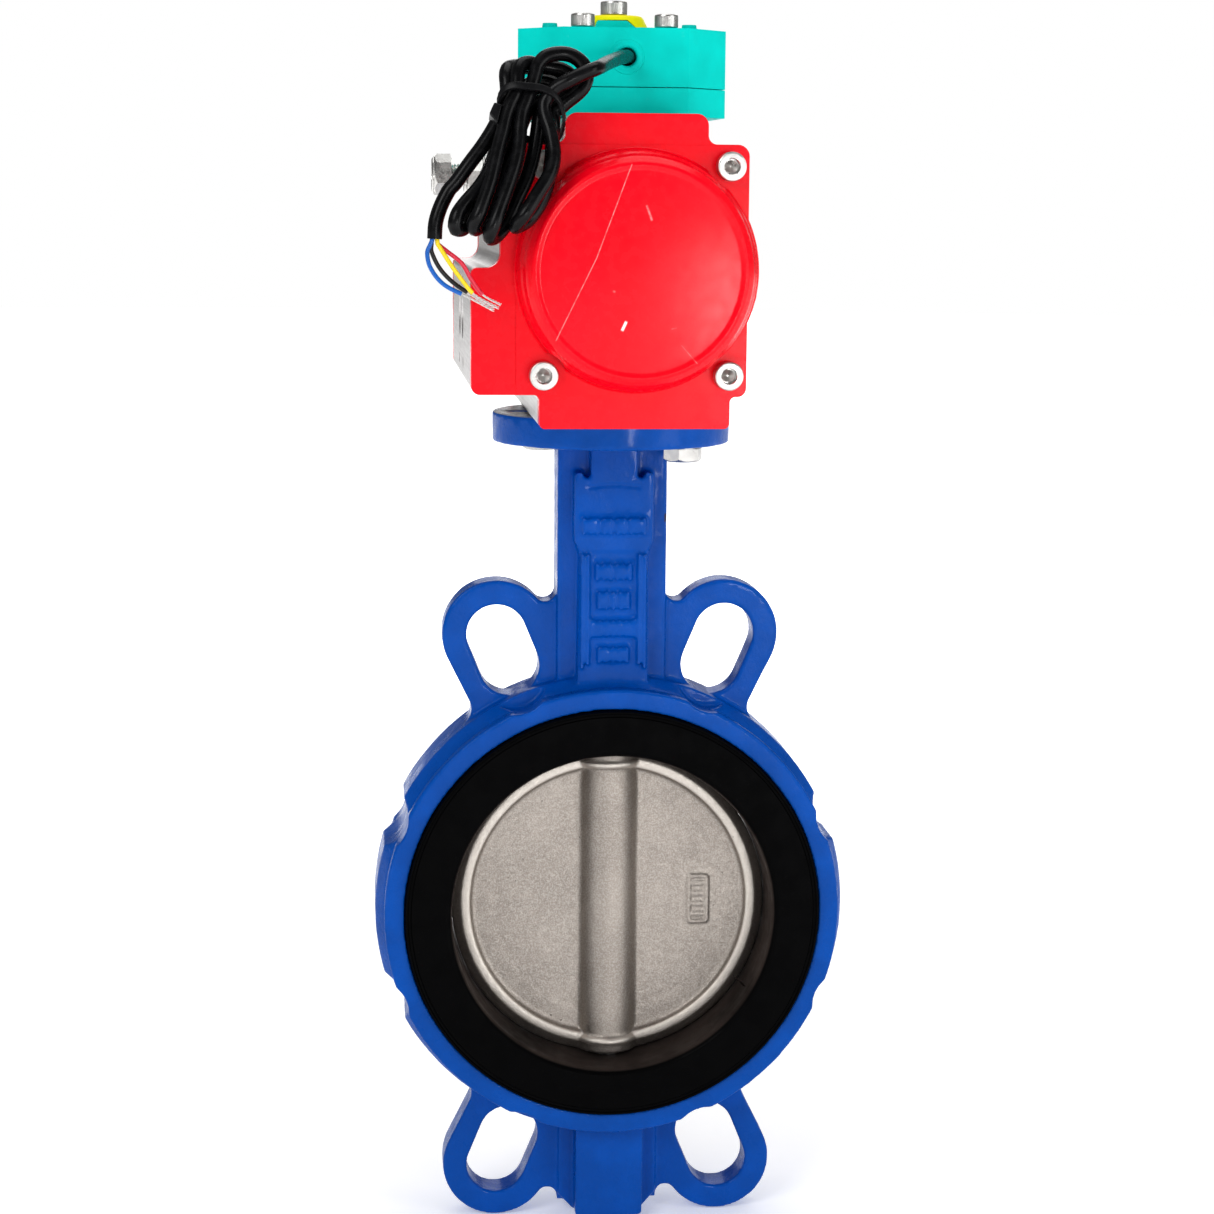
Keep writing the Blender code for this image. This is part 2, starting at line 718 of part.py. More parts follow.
def make_actuator_body():
    body = prism("actuator_body", [actuator_outline()], "Y", -ACT_HALF, ACT_HALF)
    for side in (-1, 1):
        spot = (0, side * STOP_Y, STOP_Z)
        join(body, cylinder(f"stop_boss_{side}", spot, "X", 7.4, ACT_LEFT - 2.0, ACT_LEFT + 2.0, ROUND, tool=True))
    axis_line = (0, 0, ACT_Z)
    cut(body, cylinder("piston_bore", axis_line, "Y", CYLINDER_R, -80, 80, CYLINDER, tool=True))
    cut(body, cylinder("lower_pinion_hole", (0, 0, 0), "Z", 15.6, 185, 215, SHAFT, tool=True))
    cut(body, cylinder("cam_pocket", (0, 0, 0), "Z", CAM_POCKET_R, 262, CAM_POCKET_TOP, SHAFT, tool=True))
    cut(body, cylinder("upper_pinion_hole", (0, 0, 0), "Z", 11.6, 280, 305, SHAFT, tool=True))
    for side in (-1, 1):
        low, high = sorted((side * 62.0, side * 80.0))
        cut(body, *screw_holes(f"body_screw_hole_{side}", 3.2, low, high))
        cut(body, cylinder(f"stop_hole_{side}", (0, side * STOP_Y, STOP_Z), "X", 4.2, -52, -10, 12, tool=True))
        port = (0, side * PORT_Y, PORT_Z)
        cut(body, cylinder(f"air_port_{side}", port, "X", 6.6, PAD_LEFT - 2, -44, ROUND, tool=True))
    cut(body, cylinder("air_channel", (0, -PORT_Y, PORT_Z), "X", 2.5, -46, -28, 12, tool=True))
    for x in (-1, 1):
        for y in (-1, 1):
            corner = BOLT_CIRCLE_R * math.cos(math.radians(45))
            foot = (x * corner, y * corner, 0)
            head = (x * SENSOR_SCREW[0], y * SENSOR_SCREW[1], 0)
            cut(body, cylinder(f"foot_hole_{x}_{y}", foot, "Z", 4.2, 188, 204.5, 12, tool=True))
            cut(body, cylinder(f"top_hole_{x}_{y}", head, "Z", 2.7, 288, 302, 12, tool=True))
    finish(body, ALLOY)


def make_cap(label, side):
    """An end cap: a plate with the housing's outline and a hollow dome."""
    low, high = sorted((side * (ACT_HALF + GAP), side * CAP_FACE))
    cap = prism(f"{label}_cap", [actuator_outline()], "Y", low, high)
    centre = (0, 0, ACT_Z)
    outer = [
        (0, 104.0),
        (36.3, CAP_DOME_FACE),
        (40.4, 99.5),
        (CAP_DOME_R, 94.4),
        (CAP_DOME_R, 84),
        (0, 84),
    ]
    inner = [(0, 100.6), (34.0, 100.0), (CYLINDER_R, 95.6), (CYLINDER_R, 76), (0, 76)]
    if side < 0:
        outer = [(radius, -height) for radius, height in reversed(outer)]
        inner = [(radius, -height) for radius, height in reversed(inner)]
    join(cap, turned(f"{label}_dome", outer, "Y", centre, CYLINDER, tool=True))
    cut(cap, turned(f"{label}_dome_hollow", inner, "Y", centre, CYLINDER, tool=True))
    low, high = sorted((side * (CAP_FACE + 0.05), side * 110.0))
    seats = screw_holes(f"{label}_screw_seat", 8.0, low, high)
    through = screw_holes(f"{label}_screw_way", 3.2, *sorted((side * 75.0, side * 90.0)))
    groove_low, groove_high = sorted((side * 77.0, side * 80.9))
    groove = ring(f"{label}_groove", 38.9, 41.5, groove_low, groove_high, "Y", centre, CYLINDER, tool=True)
    cut(cap, *seats, *through, groove)
    finish(cap, RED_PAINT)
    finish(o_ring(f"{label}_cap_o_ring", 40.2, 1.0, side * 79.6, "Y", centre, CYLINDER), RUBBER)


def rack_outline(side, tooth_offset):
    """A rack's side view as (X, Y) points; side is the X side of the pinion that it lies on."""
    pitch = math.pi * MODULE
    half = pitch / 4 - BACKLASH / 4
    tip = half - ADDENDUM * math.tan(PRESSURE)
    root = half + DEDENDUM * math.tan(PRESSURE)
    start, end = -(PISTON_NEAR - 0.8), PISTON_NEAR + 2.0
    outline = [(RACK_BACK, start), (PITCH_R + DEDENDUM, start)]
    for index in range(-5, 6):
        middle = (index + tooth_offset) * pitch
        if middle - root <= start or middle + root >= PISTON_NEAR:
            continue
        outline += [
            (PITCH_R + DEDENDUM, middle - root),
            (PITCH_R - ADDENDUM, middle - tip),
            (PITCH_R - ADDENDUM, middle + tip),
            (PITCH_R + DEDENDUM, middle + root),
        ]
    outline += [(PITCH_R + DEDENDUM, end), (RACK_BACK, end)]
    return [(side * x, side * y) for x, y in outline]


def make_piston(label, side, guide):
    """A piston and its rack in one. The rear one (side 1) has its rack at +X and moves along +Y."""
    centre = (0, 0, ACT_Z)
    groove = (PISTON_FAR - 4.5, PISTON_FAR - 8.0)
    head = [
        (0, PISTON_FAR),
        (PISTON_R, PISTON_FAR),
        (PISTON_R, groove[0]),
        (34.4, groove[0]),
        (34.4, groove[1]),
        (PISTON_R, groove[1]),
        (PISTON_R, PISTON_NEAR),
        (0, PISTON_NEAR),
    ]
    if side < 0:
        head = [(radius, -height) for radius, height in reversed(head)]
    piston = turned(f"{label}_piston", head, "Y", centre, CYLINDER)
    offset = 0.5 if side > 0 else 0.0
    rack = prism(
        f"{label}_rack",
        [rack_outline(side, offset)],
        "Z",
        ACT_Z - RACK_HALF_Z,
        ACT_Z + RACK_HALF_Z,
        tool=True,
    )
    join(piston, rack)
    finish(piston, ALLOY, guide)
    seal = [(groove[0] - GAP) * side, (groove[1] + GAP) * side]
    finish(ring(f"{label}_piston_ring", 34.8, 37.2, min(seal), max(seal), "Y", centre, CYLINDER), RUBBER, guide)


def pinion_outline():
    """Involute teeth, one of them centred on +X, as (X, Y) points."""
    base = PITCH_R * math.cos(PRESSURE)
    root, tip = PITCH_R - DEDENDUM, PITCH_R + ADDENDUM
    pitch_half = math.pi / 2 / TEETH - BACKLASH / 4 / PITCH_R

    def half_angle(radius):
        lean = math.acos(base / radius)
        return pitch_half + (math.tan(PRESSURE) - PRESSURE) - (math.tan(lean) - lean)

    flank = [(radius, half_angle(radius)) for radius in (base, PITCH_R, tip)]
    flank.insert(0, (root, flank[0][1]))
    outline = []
    for tooth in range(TEETH):
        middle = 2 * math.pi * tooth / TEETH
        rising = [(radius, middle - half) for radius, half in flank]
        falling = [(radius, middle + half) for radius, half in reversed(flank)]
        outline += [(radius * math.cos(turn), radius * math.sin(turn)) for radius, turn in rising + falling]
    return outline


def stop_cam_outline():
    """A sector with two flats, which meet the stop bolts at 0 and 90 degrees."""
    reach = math.degrees(math.asin(CAM_FLAT / CAM_R))
    outline = [(-CAM_FLAT, 0)]
    outline += arc((0, 0), CAM_R, 270 - reach, 360 + reach, 10)
    outline += arc((0, 0), CAM_FLAT, 90, 157.5, 3)
    return outline


def make_pinion(axis):
    profile = [
        (0, PINION_TOP),
        (9.8, PINION_TOP),
        (9.8, 302.3),
        (8.6, 302.3),
        (8.6, 300.9),
        (9.8, 300.9),
        (9.8, 278.0),
        (12.4, 278.0),
        (12.4, 209.0),
        (13.0, 209.0),
        (13.0, ACT_LOW + 0.6),
        (0, ACT_LOW + 0.6),
    ]
    pinion = turned("pinion", profile, sides=SHAFT)
    teeth = prism("pinion_teeth", [pinion_outline()], "Z", *GEAR_Z, tool=True)
    cam = prism("stop_cam", [stop_cam_outline()], "Z", *CAM_Z, tool=True)
    join(pinion, teeth, cam)
    socket = prism("pinion_socket", [square_drive(STEM_SQUARE + 0.6, STEM_R + GAP)], "Z", 185, 209.6, tool=True)
    slot = box("pinion_slot", (-12, -2.3, 301.9), (12, 2.3, 310), tool=True)
    cut(pinion, socket, slot)
    finish(pinion, STEEL, axis)
    finish(ring("pinion_lower_bearing", 13.3, 15.3, ACT_LOW + 0.6, 206.0, sides=SHAFT), BRONZE)
    finish(ring("pinion_upper_bearing", 10.1, 11.3, 284.6, 297.6, sides=SHAFT), BRONZE)
    finish(ring("thrust_washer", 10.1, 13.2, 299.5, 300.6, sides=SHAFT), NYLON)
    clip = arc((0, 0), 12.2, 25, 335, 14) + arc((0, 0), 9.0, 335, 25, 14)
    finish(prism("pinion_circlip", [clip], "Z", 301.0, 302.0), STEEL, axis)


# -------------------------------------------------------------- sensor box


def octagon(half_x, half_y, corner):
    quarter = [(half_x, half_y - corner), (half_x - corner, half_y)]
    upper = quarter + [(-x, y) for x, y in reversed(quarter)]
    return upper + [(-x, -y) for x, y in upper]


def box_screw_places():
    return [(x * SENSOR_SCREW[0], y * SENSOR_SCREW[1]) for y in (-1, 1) for x in (-1, 1)]


def make_sensor_box():
    outline = octagon(BOX_X, BOX_Y, BOX_CORNER)
    hollow = octagon(BOX_X - 2.8, 33.0, 8.0)
    base = prism("sensor_base", [outline], "Z", BOX_LOW, BOX_SPLIT - GAP)
    cut(base, prism("base_hollow", [hollow], "Z", BOX_LOW + 3.5, BOX_SPLIT + 2, tool=True))
    cut(base, cylinder("base_shaft_way", (0, 0, 0), "Z", 14.5, BOX_LOW - 2, BOX_SPLIT, ROUND, tool=True))
    cover = prism("sensor_cover", [outline], "Z", BOX_SPLIT, BOX_TOP)
    for x in (-25.5, 25.5):
        for y in (-22, 22):
            low, high = BOX_TOP - 1, BOX_TOP + 1.3
            join(cover, cylinder(f"bump_{x}_{y}", (x, y, 0), "Z", 3.4, low, high, 8, tool=True, top_radius=2.9))
    cut(cover, prism("cover_hollow", [hollow], "Z", BOX_SPLIT - 2, BOX_TOP - 3, tool=True))
    cut(cover, cylinder("cover_shaft_way", (0, 0, 0), "Z", 7.0, BOX_TOP - 8, BOX_TOP + 2, ROUND, tool=True))
    x, z = GLAND
    cut(cover, cylinder("gland_seat", (x, 0, z), "Y", 5.25, -BOX_Y - 2, -41.2, ROUND, tool=True))
    cut(cover, cylinder("cable_way", (x, 0, z), "Y", 3.2, -42, -30, tool=True))
    for part, low, high in ((base, BOX_LOW - 2, BOX_SPLIT + 2), (cover, BOX_SPLIT - 2, BOX_TOP + 2)):
        for number, (sx, sy) in enumerate(box_screw_places()):
            cut(part, cylinder(f"{part.name}_hole_{number}", (sx, sy, 0), "Z", 2.8, low, high, 12, tool=True))
    finish(base, TEAL)
    finish(cover, TEAL)
    mesh = socket_screw_mesh("sensor_screw", 4.25, 4.8, 2.4, 41.5, 4.0)
    level = Matrix.Identity(3)
    places = [
        (f"sensor_screw_{number}", (sx, sy, BOX_TOP + GAP), level)
        for number, (sx, sy) in enumerate(box_screw_places(), 1)
    ]
    place_copies(mesh, places, STEEL)
    gland = [(4.3, -47.9), (2.95, -47.9), (2.95, -41.5), (4.95, -41.5), (4.95, -47.4)]
    finish(turned("cable_gland", gland, "Y", (x, 0, z), closed=True), TEAL)


def make_sensor_switch():
    """A board on edge beside the cam, with two switch blocks."""
    board = box("sensor_switch", (16, -24, 311.0), (33, 24, 312.6))
    for y in (-12, 12):
        join(board, box(f"switch_block_{y}", (14, y - 5, 312.0), (26, y + 5, 319.0), tool=True))
    finish(board, BOARD)


def make_indicator(axis):
    profile = [
        (0, BOX_TOP),
        (5.8, BOX_TOP),
        (5.8, 320.0),
        (10.5, 320.0),
        (10.5, 314.0),
        (5.8, 314.0),
        (5.8, PINION_TOP + GAP),
        (0, PINION_TOP + GAP),
    ]
    shaft = turned("sensor_shaft", profile)
    join(shaft, box("shaft_tongue", (-5.5, -2.0, 302.2), (5.5, 2.0, 307.5), tool=True))
    cut(shaft, cylinder("shaft_thread", (0, 0, 0), "Z", 3.1, 316, BOX_TOP + 2, tool=True))
    finish(shaft, NYLON, axis)
    low = BOX_TOP + GAP
    puck = cylinder("indicator_puck", (0, 0, 0), "Z", 13.5, low, PUCK_TOP, SHAFT, top_radius=10.6)
    pointer = [(9.0, low), (3.7, 335.3), (-3.7, 335.3), (-9.0, low)]
    room = [(9.6, low - 1), (9.6, low), (4.0, 335.6), (-4.0, 335.6), (-9.6, low), (-9.6, low - 1)]
    cut(puck, prism("pointer_room", [room], "Y", -16, -9.0, tool=True))
    cut(puck, cylinder("puck_hole", (0, 0, 0), "Z", 3.1, low - 2, PUCK_TOP + 2, tool=True))
    finish(puck, YELLOW, axis)
    finish(prism("indicator_pointer", [pointer], "Y", -13.6, -9.3), TEAL, axis)
    mesh = socket_screw_mesh("puck_screw", 5.0, 5.3, 2.8, 20.0, 5.0)
    place_copies(mesh, [("puck_screw", (0, 0, PUCK_TOP + GAP), Matrix.Identity(3))], STEEL, axis)


# ------------------------------------------------------------------- cable


def hank_frame():
    """Where the tied hank hangs: its waist, leaning back towards the sensor box."""
    return Matrix.Translation(Vector(HANK_WAIST) * MM) @ Matrix.Rotation(-HANK_TILT, 4, "X")


def hank_part(name, loops, normal, low, high, look):
    """A prism made in the hank's own frame, whose origin is the middle of its waist."""
    obj = prism(name, loops, normal, low, high)
    obj.matrix_world = hank_frame() @ obj.matrix_world
    return finish(obj, look)


def make_hank():
    """Folded turns: lobes above and below a narrow waist, as arcs in the hank's own (X, Z)."""
    outline = arc((-4.5, 15.0), 5.5, 185, 100, 3)
    outline += arc((13.0, 15.5), 6.0, 85, -45, 6)
    outline += [(9.6, 4.0), (9.6, -4.0)]
    outline += arc((1.5, -30.5), 6.0, 5, -60, 3)
    outline += arc((-12.0, -40.5), 5.5, -60, -115, 3)
    outline += arc((-21.0, -38.0), 5.5, -110, -215, 4)
    outline += [(-11.2, -16.0), (-10.2, -4.0), (-10.2, 4.0)]
    hank_part("cable_hank", [outline], "Y", -HANK_HALF, HANK_HALF, CABLE_BLACK)


def make_tie():
    """A cable tie round the hank's waist, with its lock on the left."""
    side, front = 10.6, HANK_HALF + 0.4
    band = 1.2
    wide, deep = side + band, front + band
    outer = rounded([(wide, -deep, 1), (wide, deep, 1), (-wide, deep, 1), (-wide, -deep, 1)])
    inner = [(side, -front), (side, front), (-side, front), (-side, -front)]
    tie = prism("cable_tie", [outer, inner], "Z", -2.0, 2.0)
    lock = box("tie_lock", (-side - 6.0, -5.5, -3.0), (-side - 0.6, 0.5, 3.0), tool=True)
    join(tie, lock)
    for obj in (tie, lock):
        obj.matrix_world = hank_frame() @ obj.matrix_world
    finish(tie, CABLE_BLACK)


def make_cable():
    x, z = GLAND
    lead = [
        (x, -43.5, z),
        (x - 0.2, -49.0, z),
        (-2.6, -57.5, 319.5),
        (-6.8, -70.5, 317.7),
        (-10.9, -84.5, 315.7),
        (-15.2, -98.0, 313.4),
        (-18.6, -104.8, 311.8),
        (-23.0, -108.4, 310.0),
        (-27.4, -109.3, 308.9),
        (-30.6, -108.1, 308.4),
        (-32.8, -105.6, 308.0),
        (-33.0, -102.3, 306.8),
    ]
    tube("cable_lead", lead, CABLE_R, 8.0, CABLE_BLACK)
    tail = [
        (-50.2, -99.7, 292.9),
        (-52.3, -100.2, 291.8),
        (-55.0, -100.8, 288.4),
        (-58.0, -101.5, 283.6),
        (-61.5, -102.3, 278.0),
        (-65.0, -103.0, 272.6),
        (-67.8, -103.6, 267.2),
        (-69.5, -104.0, 261.8),
        (-69.9, -104.0, 256.4),
    ]
    tube("cable_tail", tail, CABLE_R, 6.0, CABLE_BLACK)


def make_cores():
    """Four stripped cores that leave the jacket's end side by side and come together again."""
    routes = {
        "blue": [
            (-70.8, -104.9, 255.8),
            (-71.3, -104.9, 254.6),
            (-72.4, -105.2, 251.5),
            (-71.2, -105.6, 246.5),
            (-66.8, -106.0, 241.2),
            (-58.5, -106.4, 237.0),
            (-50.2, -106.6, 232.8),
        ],
        "black": [
            (-70.8, -103.1, 255.8),
            (-70.9, -103.1, 254.6),
            (-70.8, -102.9, 251.8),
            (-68.1, -102.6, 246.5),
            (-63.6, -102.3, 241.8),
            (-57.0, -102.1, 237.4),
            (-49.9, -102.0, 233.2),
        ],
        "yellow": [
            (-69.0, -104.9, 255.8),
            (-68.8, -104.9, 254.6),
            (-67.4, -104.8, 252.4),
            (-64.6, -104.7, 248.0),
            (-60.8, -104.5, 242.8),
            (-56.4, -104.3, 237.8),
            (-48.5, -104.2, 233.5),
        ],
        "red": [
            (-69.0, -103.1, 255.8),
            (-68.7, -103.1, 254.6),
            (-65.8, -102.6, 252.3),
            (-60.7, -101.8, 248.2),
            (-57.3, -101.0, 242.5),
            (-53.6, -100.3, 237.8),
            (-47.5, -100.0, 234.5),
        ],
    }
    for colour, route in routes.items():
        look = material(f"{colour} core", CORE_COLOURS[colour], 0.4)
        tube(f"core_{colour}", route, CORE_R, 4.0, look)


# --------------------------------------------------------------- assembly


def main():
    stem_axis = add_empty("stem_axis", (0, 0, 0))
    front_guide = add_empty("front_piston_guide", (0, 0, ACT_Z))
    rear_guide = add_empty("rear_piston_guide", (0, 0, ACT_Z))
    make_valve_body()
    make_seat_liner()
    make_disc(stem_axis)
    make_stems(stem_axis)
    make_flange_bolts()
    make_actuator_body()
    make_cap("front", -1)
    make_cap("rear", 1)
    make_cap_screws()
    make_stop_bolts()
    make_piston("front", -1, front_guide)
    make_piston("rear", 1, rear_guide)
    make_pinion(stem_axis)
    make_sensor_box()
    make_sensor_switch()
    make_indicator(stem_axis)
    make_hank()
    make_tie()
    make_cable()
    make_cores()
    for obj in PARTS.objects:
        if obj.type == "MESH" and not any(change.type == "SCREW" for change in obj.modifiers):
            obj.data.shade_smooth()
            obj.data.set_sharp_from_angle(angle=math.radians(35))


main()
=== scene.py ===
"""Looks of a pneumatic actuated wafer butterfly valve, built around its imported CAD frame.

The origin is the centre of the bore, on the stem's axis. +Z runs up the stem, the flow runs along Y and
-Y is the front. Sizes are millimetres, and the helpers turn them into Blender's metres.
"""

import math

import bmesh
import bpy
from mathutils import Matrix, Vector


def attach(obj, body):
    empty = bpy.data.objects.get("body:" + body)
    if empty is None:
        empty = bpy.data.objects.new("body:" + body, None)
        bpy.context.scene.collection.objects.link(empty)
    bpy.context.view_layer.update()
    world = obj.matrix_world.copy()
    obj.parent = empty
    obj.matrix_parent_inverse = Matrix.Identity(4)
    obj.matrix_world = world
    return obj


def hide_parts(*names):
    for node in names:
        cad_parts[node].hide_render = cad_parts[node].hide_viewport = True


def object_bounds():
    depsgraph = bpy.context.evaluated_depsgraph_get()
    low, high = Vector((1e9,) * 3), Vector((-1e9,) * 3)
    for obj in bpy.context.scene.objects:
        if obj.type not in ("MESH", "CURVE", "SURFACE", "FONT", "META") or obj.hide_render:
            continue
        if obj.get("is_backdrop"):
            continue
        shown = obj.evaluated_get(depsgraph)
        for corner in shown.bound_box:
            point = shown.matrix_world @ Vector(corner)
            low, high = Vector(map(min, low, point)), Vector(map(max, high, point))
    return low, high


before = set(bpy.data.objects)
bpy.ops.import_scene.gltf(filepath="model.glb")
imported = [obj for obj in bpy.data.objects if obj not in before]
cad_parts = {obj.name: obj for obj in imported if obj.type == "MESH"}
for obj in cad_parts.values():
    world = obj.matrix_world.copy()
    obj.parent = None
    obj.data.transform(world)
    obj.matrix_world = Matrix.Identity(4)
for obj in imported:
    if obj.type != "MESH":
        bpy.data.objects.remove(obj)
CAD_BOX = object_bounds()

MM = 0.001
FACE = 26.0
RIB_R = 90.5
NECK_Y = 15.6
SEAT_RECESS_R = 79.7
LUG_ANGLE = 67.5
FLANGE_LOW = 179.4
FLANGE_TOP = 190.7
ACT_Z = 245.6
ACT_HALF = 78.0
ACT_LEFT = -46.8
PAD_LEFT = -56.9
CAP_FACE = 87.0
CAP_SCREW_X = 32.1
CAP_SCREWS = [(x, z) for z in (209.8, 281.4) for x in (-CAP_SCREW_X, CAP_SCREW_X)]
PORT_Y = 12
PORT_Z = 226
FOOT_HOLE = 24.75
STOP_Y = 15.0
STOP_Z = 278.8
BOX_TOP = 330.5
BOX_SPLIT = 309.8
BOX_LOW = 299.5
BOX_SCREWS = [(x * 15.0, y * 40.0) for y in (-1, 1) for x in (-1, 1)]
GLAND = (0.3, 0, 320.2)
CABLE_R = 2.5
HANK_WAIST = (-38.0, -97.5, 299.5)
HANK_TILT = 20
SIDES = ((-1, "front"), (1, "rear"))


# ------------------------------------------------------------------ meshes


def add_object(name, data):
    obj = bpy.data.objects.new(name, data)
    bpy.context.scene.collection.objects.link(obj)
    return obj


def spin(degrees, axis):
    return Matrix.Rotation(math.radians(degrees), 4, axis)


# turns local +Z onto the named axis, for round shapes
ONTO = {"Z": Matrix.Identity(4), "Y": spin(-90, "X"), "X": spin(90, "Y")}
# stands a flat outline up, so that its normal is the named axis
UPRIGHT = {"Z": Matrix.Identity(4), "Y": spin(90, "X"), "X": spin(90, "Z") @ spin(90, "X")}


def drop(obj):
    data = obj.data
    bpy.data.objects.remove(obj, do_unlink=True)
    if data.users == 0:
        (bpy.data.curves if isinstance(data, bpy.types.Curve) else bpy.data.meshes).remove(data)


def bake(obj, tools=()):
    """Applies an object's modifiers and place to its mesh, and removes the cutters it used."""
    bpy.context.view_layer.update()
    graph = bpy.context.evaluated_depsgraph_get()
    mesh = bpy.data.meshes.new_from_object(obj.evaluated_get(graph))
    mesh.transform(obj.matrix_world)
    name = obj.name
    drop(obj)
    for tool in tools:
        drop(tool)
    mesh.name = name
    return add_object(name, mesh)


def made_from(name, form):
    """An object with a bmesh's shape."""
    mesh = bpy.data.meshes.new(name)
    form.to_mesh(mesh)
    form.free()
    return add_object(name, mesh)


def span(side, near, far):
    """Two distances from the middle plane, on one side of it, the lower coordinate first."""
    return sorted((side * near, side * far))


def box(name, low, high):
    low, high = Vector(low) * MM, Vector(high) * MM
    form = bmesh.new()
    place = Matrix.Translation((low + high) / 2) @ Matrix.Diagonal((*(high - low), 1))
    bmesh.ops.create_cube(form, size=1, matrix=place)
    return made_from(name, form)


def cylinder(name, centre, axis, radius, start, end, sides=48, top_radius=None):
    """A cylinder or cone. centre gives the axis, and start and end are coordinates along it."""
    middle = Vector(centre)
    middle["XYZ".index(axis)] = (start + end) / 2
    form = bmesh.new()
    bmesh.ops.create_cone(
        form,
        cap_ends=True,
        segments=sides,
        radius1=radius * MM,
        radius2=(radius if top_radius is None else top_radius) * MM,
        depth=(end - start) * MM,
        matrix=Matrix.Translation(middle * MM) @ ONTO[axis],
    )
    return made_from(name, form)


def pole(name, radius, low, high, sides=48, top_radius=None):
    """A cylinder or cone on the stem's axis."""
    return cylinder(name, (0, 0, 0), "Z", radius, low, high, sides, top_radius)


def skin(name, rings, closed=False):
    """A closed mesh through rings of equally many points; closed joins the last ring to the first."""
    form = bmesh.new()
    rows = [[form.verts.new(Vector(point) * MM) for point in ring] for ring in rings]
    pairs = list(zip(rows, rows[1:]))
    if closed:
        pairs.append((rows[-1], rows[0]))
    for first, second in pairs:
        count = len(first)
        for index in range(count):
            after = (index + 1) % count
            form.faces.new((first[index], first[after], second[after], second[index]))
    if not closed:
        form.faces.new(list(reversed(rows[0])))
        form.faces.new(rows[-1])
    bmesh.ops.recalc_face_normals(form, faces=form.faces)
    return made_from(name, form)


def lathe(name, profile, sides=64, closed=False, axis="Z", centre=(0, 0, 0), radius_at=None):
    """Turns a profile of (radius, height) points, none of them on the axis, into a closed mesh.
    radius_at changes a radius by its turn and height, for threads and knurls."""
    rings = []
    for radius, height in profile:
        ring = []
        for index in range(sides):
            turn = 2 * math.pi * index / sides
            reach = radius_at(radius, turn, height) if radius_at else radius
            ring.append((reach * math.cos(turn), reach * math.sin(turn), height))
        rings.append(ring)
    obj = skin(name, rings, closed)
    obj.data.transform(Matrix.Translation(Vector(centre) * MM) @ ONTO[axis])
    return obj


def arc(centre, radius, start, end, steps):
    """Points of an arc, angles in degrees from the first axis."""
    turns = (math.radians(start + (end - start) * step / steps) for step in range(steps + 1))
    return [(centre[0] + radius * math.cos(turn), centre[1] + radius * math.sin(turn)) for turn in turns]


def rounded(corners, steps=6):
    """The outline through corners of (u, v, fillet radius)."""
    points = []
    for index, (u, v, radius) in enumerate(corners):
        here = Vector((u, v))
        before = (Vector(corners[index - 1][:2]) - here).normalized()
        after = (Vector(corners[(index + 1) % len(corners)][:2]) - here).normalized()
        if radius == 0:
            points.append((u, v))
            continue
        half = before.angle(after) / 2
        middle = here + (before + after).normalized() * (radius / math.sin(half))
        first = here + before * (radius / math.tan(half)) - middle
        last = here + after * (radius / math.tan(half)) - middle
        for step in range(steps + 1):
            spoke = first.lerp(last, step / steps).normalized() * radius
            points.append(tuple(middle + spoke))
    return points


def panel(left, low, right, high, radius):
    return rounded([(left, low, radius), (right, low, radius), (right, high, radius), (left, high, radius)])


def prism(name, loops, normal, low, high):
    """A flat outline made thick. A Y normal takes (X, Z) points, an X one (Y, Z) and a Z one (X, Y)."""
    curve = bpy.data.curves.new(name, "CURVE")
    curve.dimensions = "2D"
    curve.fill_mode = "BOTH"
    curve.extrude = (high - low) / 2 * MM
    for loop in loops:
        spline = curve.splines.new("POLY")
        spline.points.add(len(loop) - 1)
        for point, (u, v) in zip(spline.points, loop):
            point.co = (u * MM, v * MM, 0, 1)
        spline.use_cyclic_u = True
    obj = add_object(name, curve)
    centre = Vector((0, 0, 0))
    centre["XYZ".index(normal)] = (low + high) / 2 * MM
    obj.matrix_world = Matrix.Translation(centre) @ UPRIGHT[normal]
    obj = bake(obj)
    form = bmesh.new()
    form.from_mesh(obj.data)
    bmesh.ops.remove_doubles(form, verts=form.verts, dist=0.000001)
    bmesh.ops.recalc_face_normals(form, faces=form.faces)
    form.to_mesh(obj.data)
    form.free()
    return obj


def modify(obj, kind, **settings):
    change = obj.modifiers.new(kind.lower(), kind)
    for name, value in settings.items():
        setattr(change, name, value)


def combine(base, joins=(), cuts=(), keeps=()):
    """Adds, cuts away and intersects other closed meshes, in that order."""
    for operation, tools in (("UNION", joins), ("DIFFERENCE", cuts), ("INTERSECT", keeps)):
        for tool in tools:
            modify(base, "BOOLEAN", solver="MANIFOLD", operation=operation, object=tool)
    return bake(base, [*joins, *cuts, *keeps])


def bevel(obj, width, segments=2, angle=30):
    limit = {"limit_method": "ANGLE", "angle_limit": math.radians(angle)}
    modify(obj, "BEVEL", width=width * MM, segments=segments, miter_outer="MITER_ARC", **limit)
    return bake(obj)


def smooth(obj, angle=35):
    """Keeps flat faces flat in the shading, and edges sharper than the angle sharp."""
    obj.data.shade_smooth()
    obj.data.set_sharp_from_angle(angle=math.radians(angle))
    modify(obj, "WEIGHTED_NORMAL", keep_sharp=True)
    return obj


def soften(obj, width, segments=2, angle=30):
    return smooth(bevel(obj, width, segments, angle), 50)


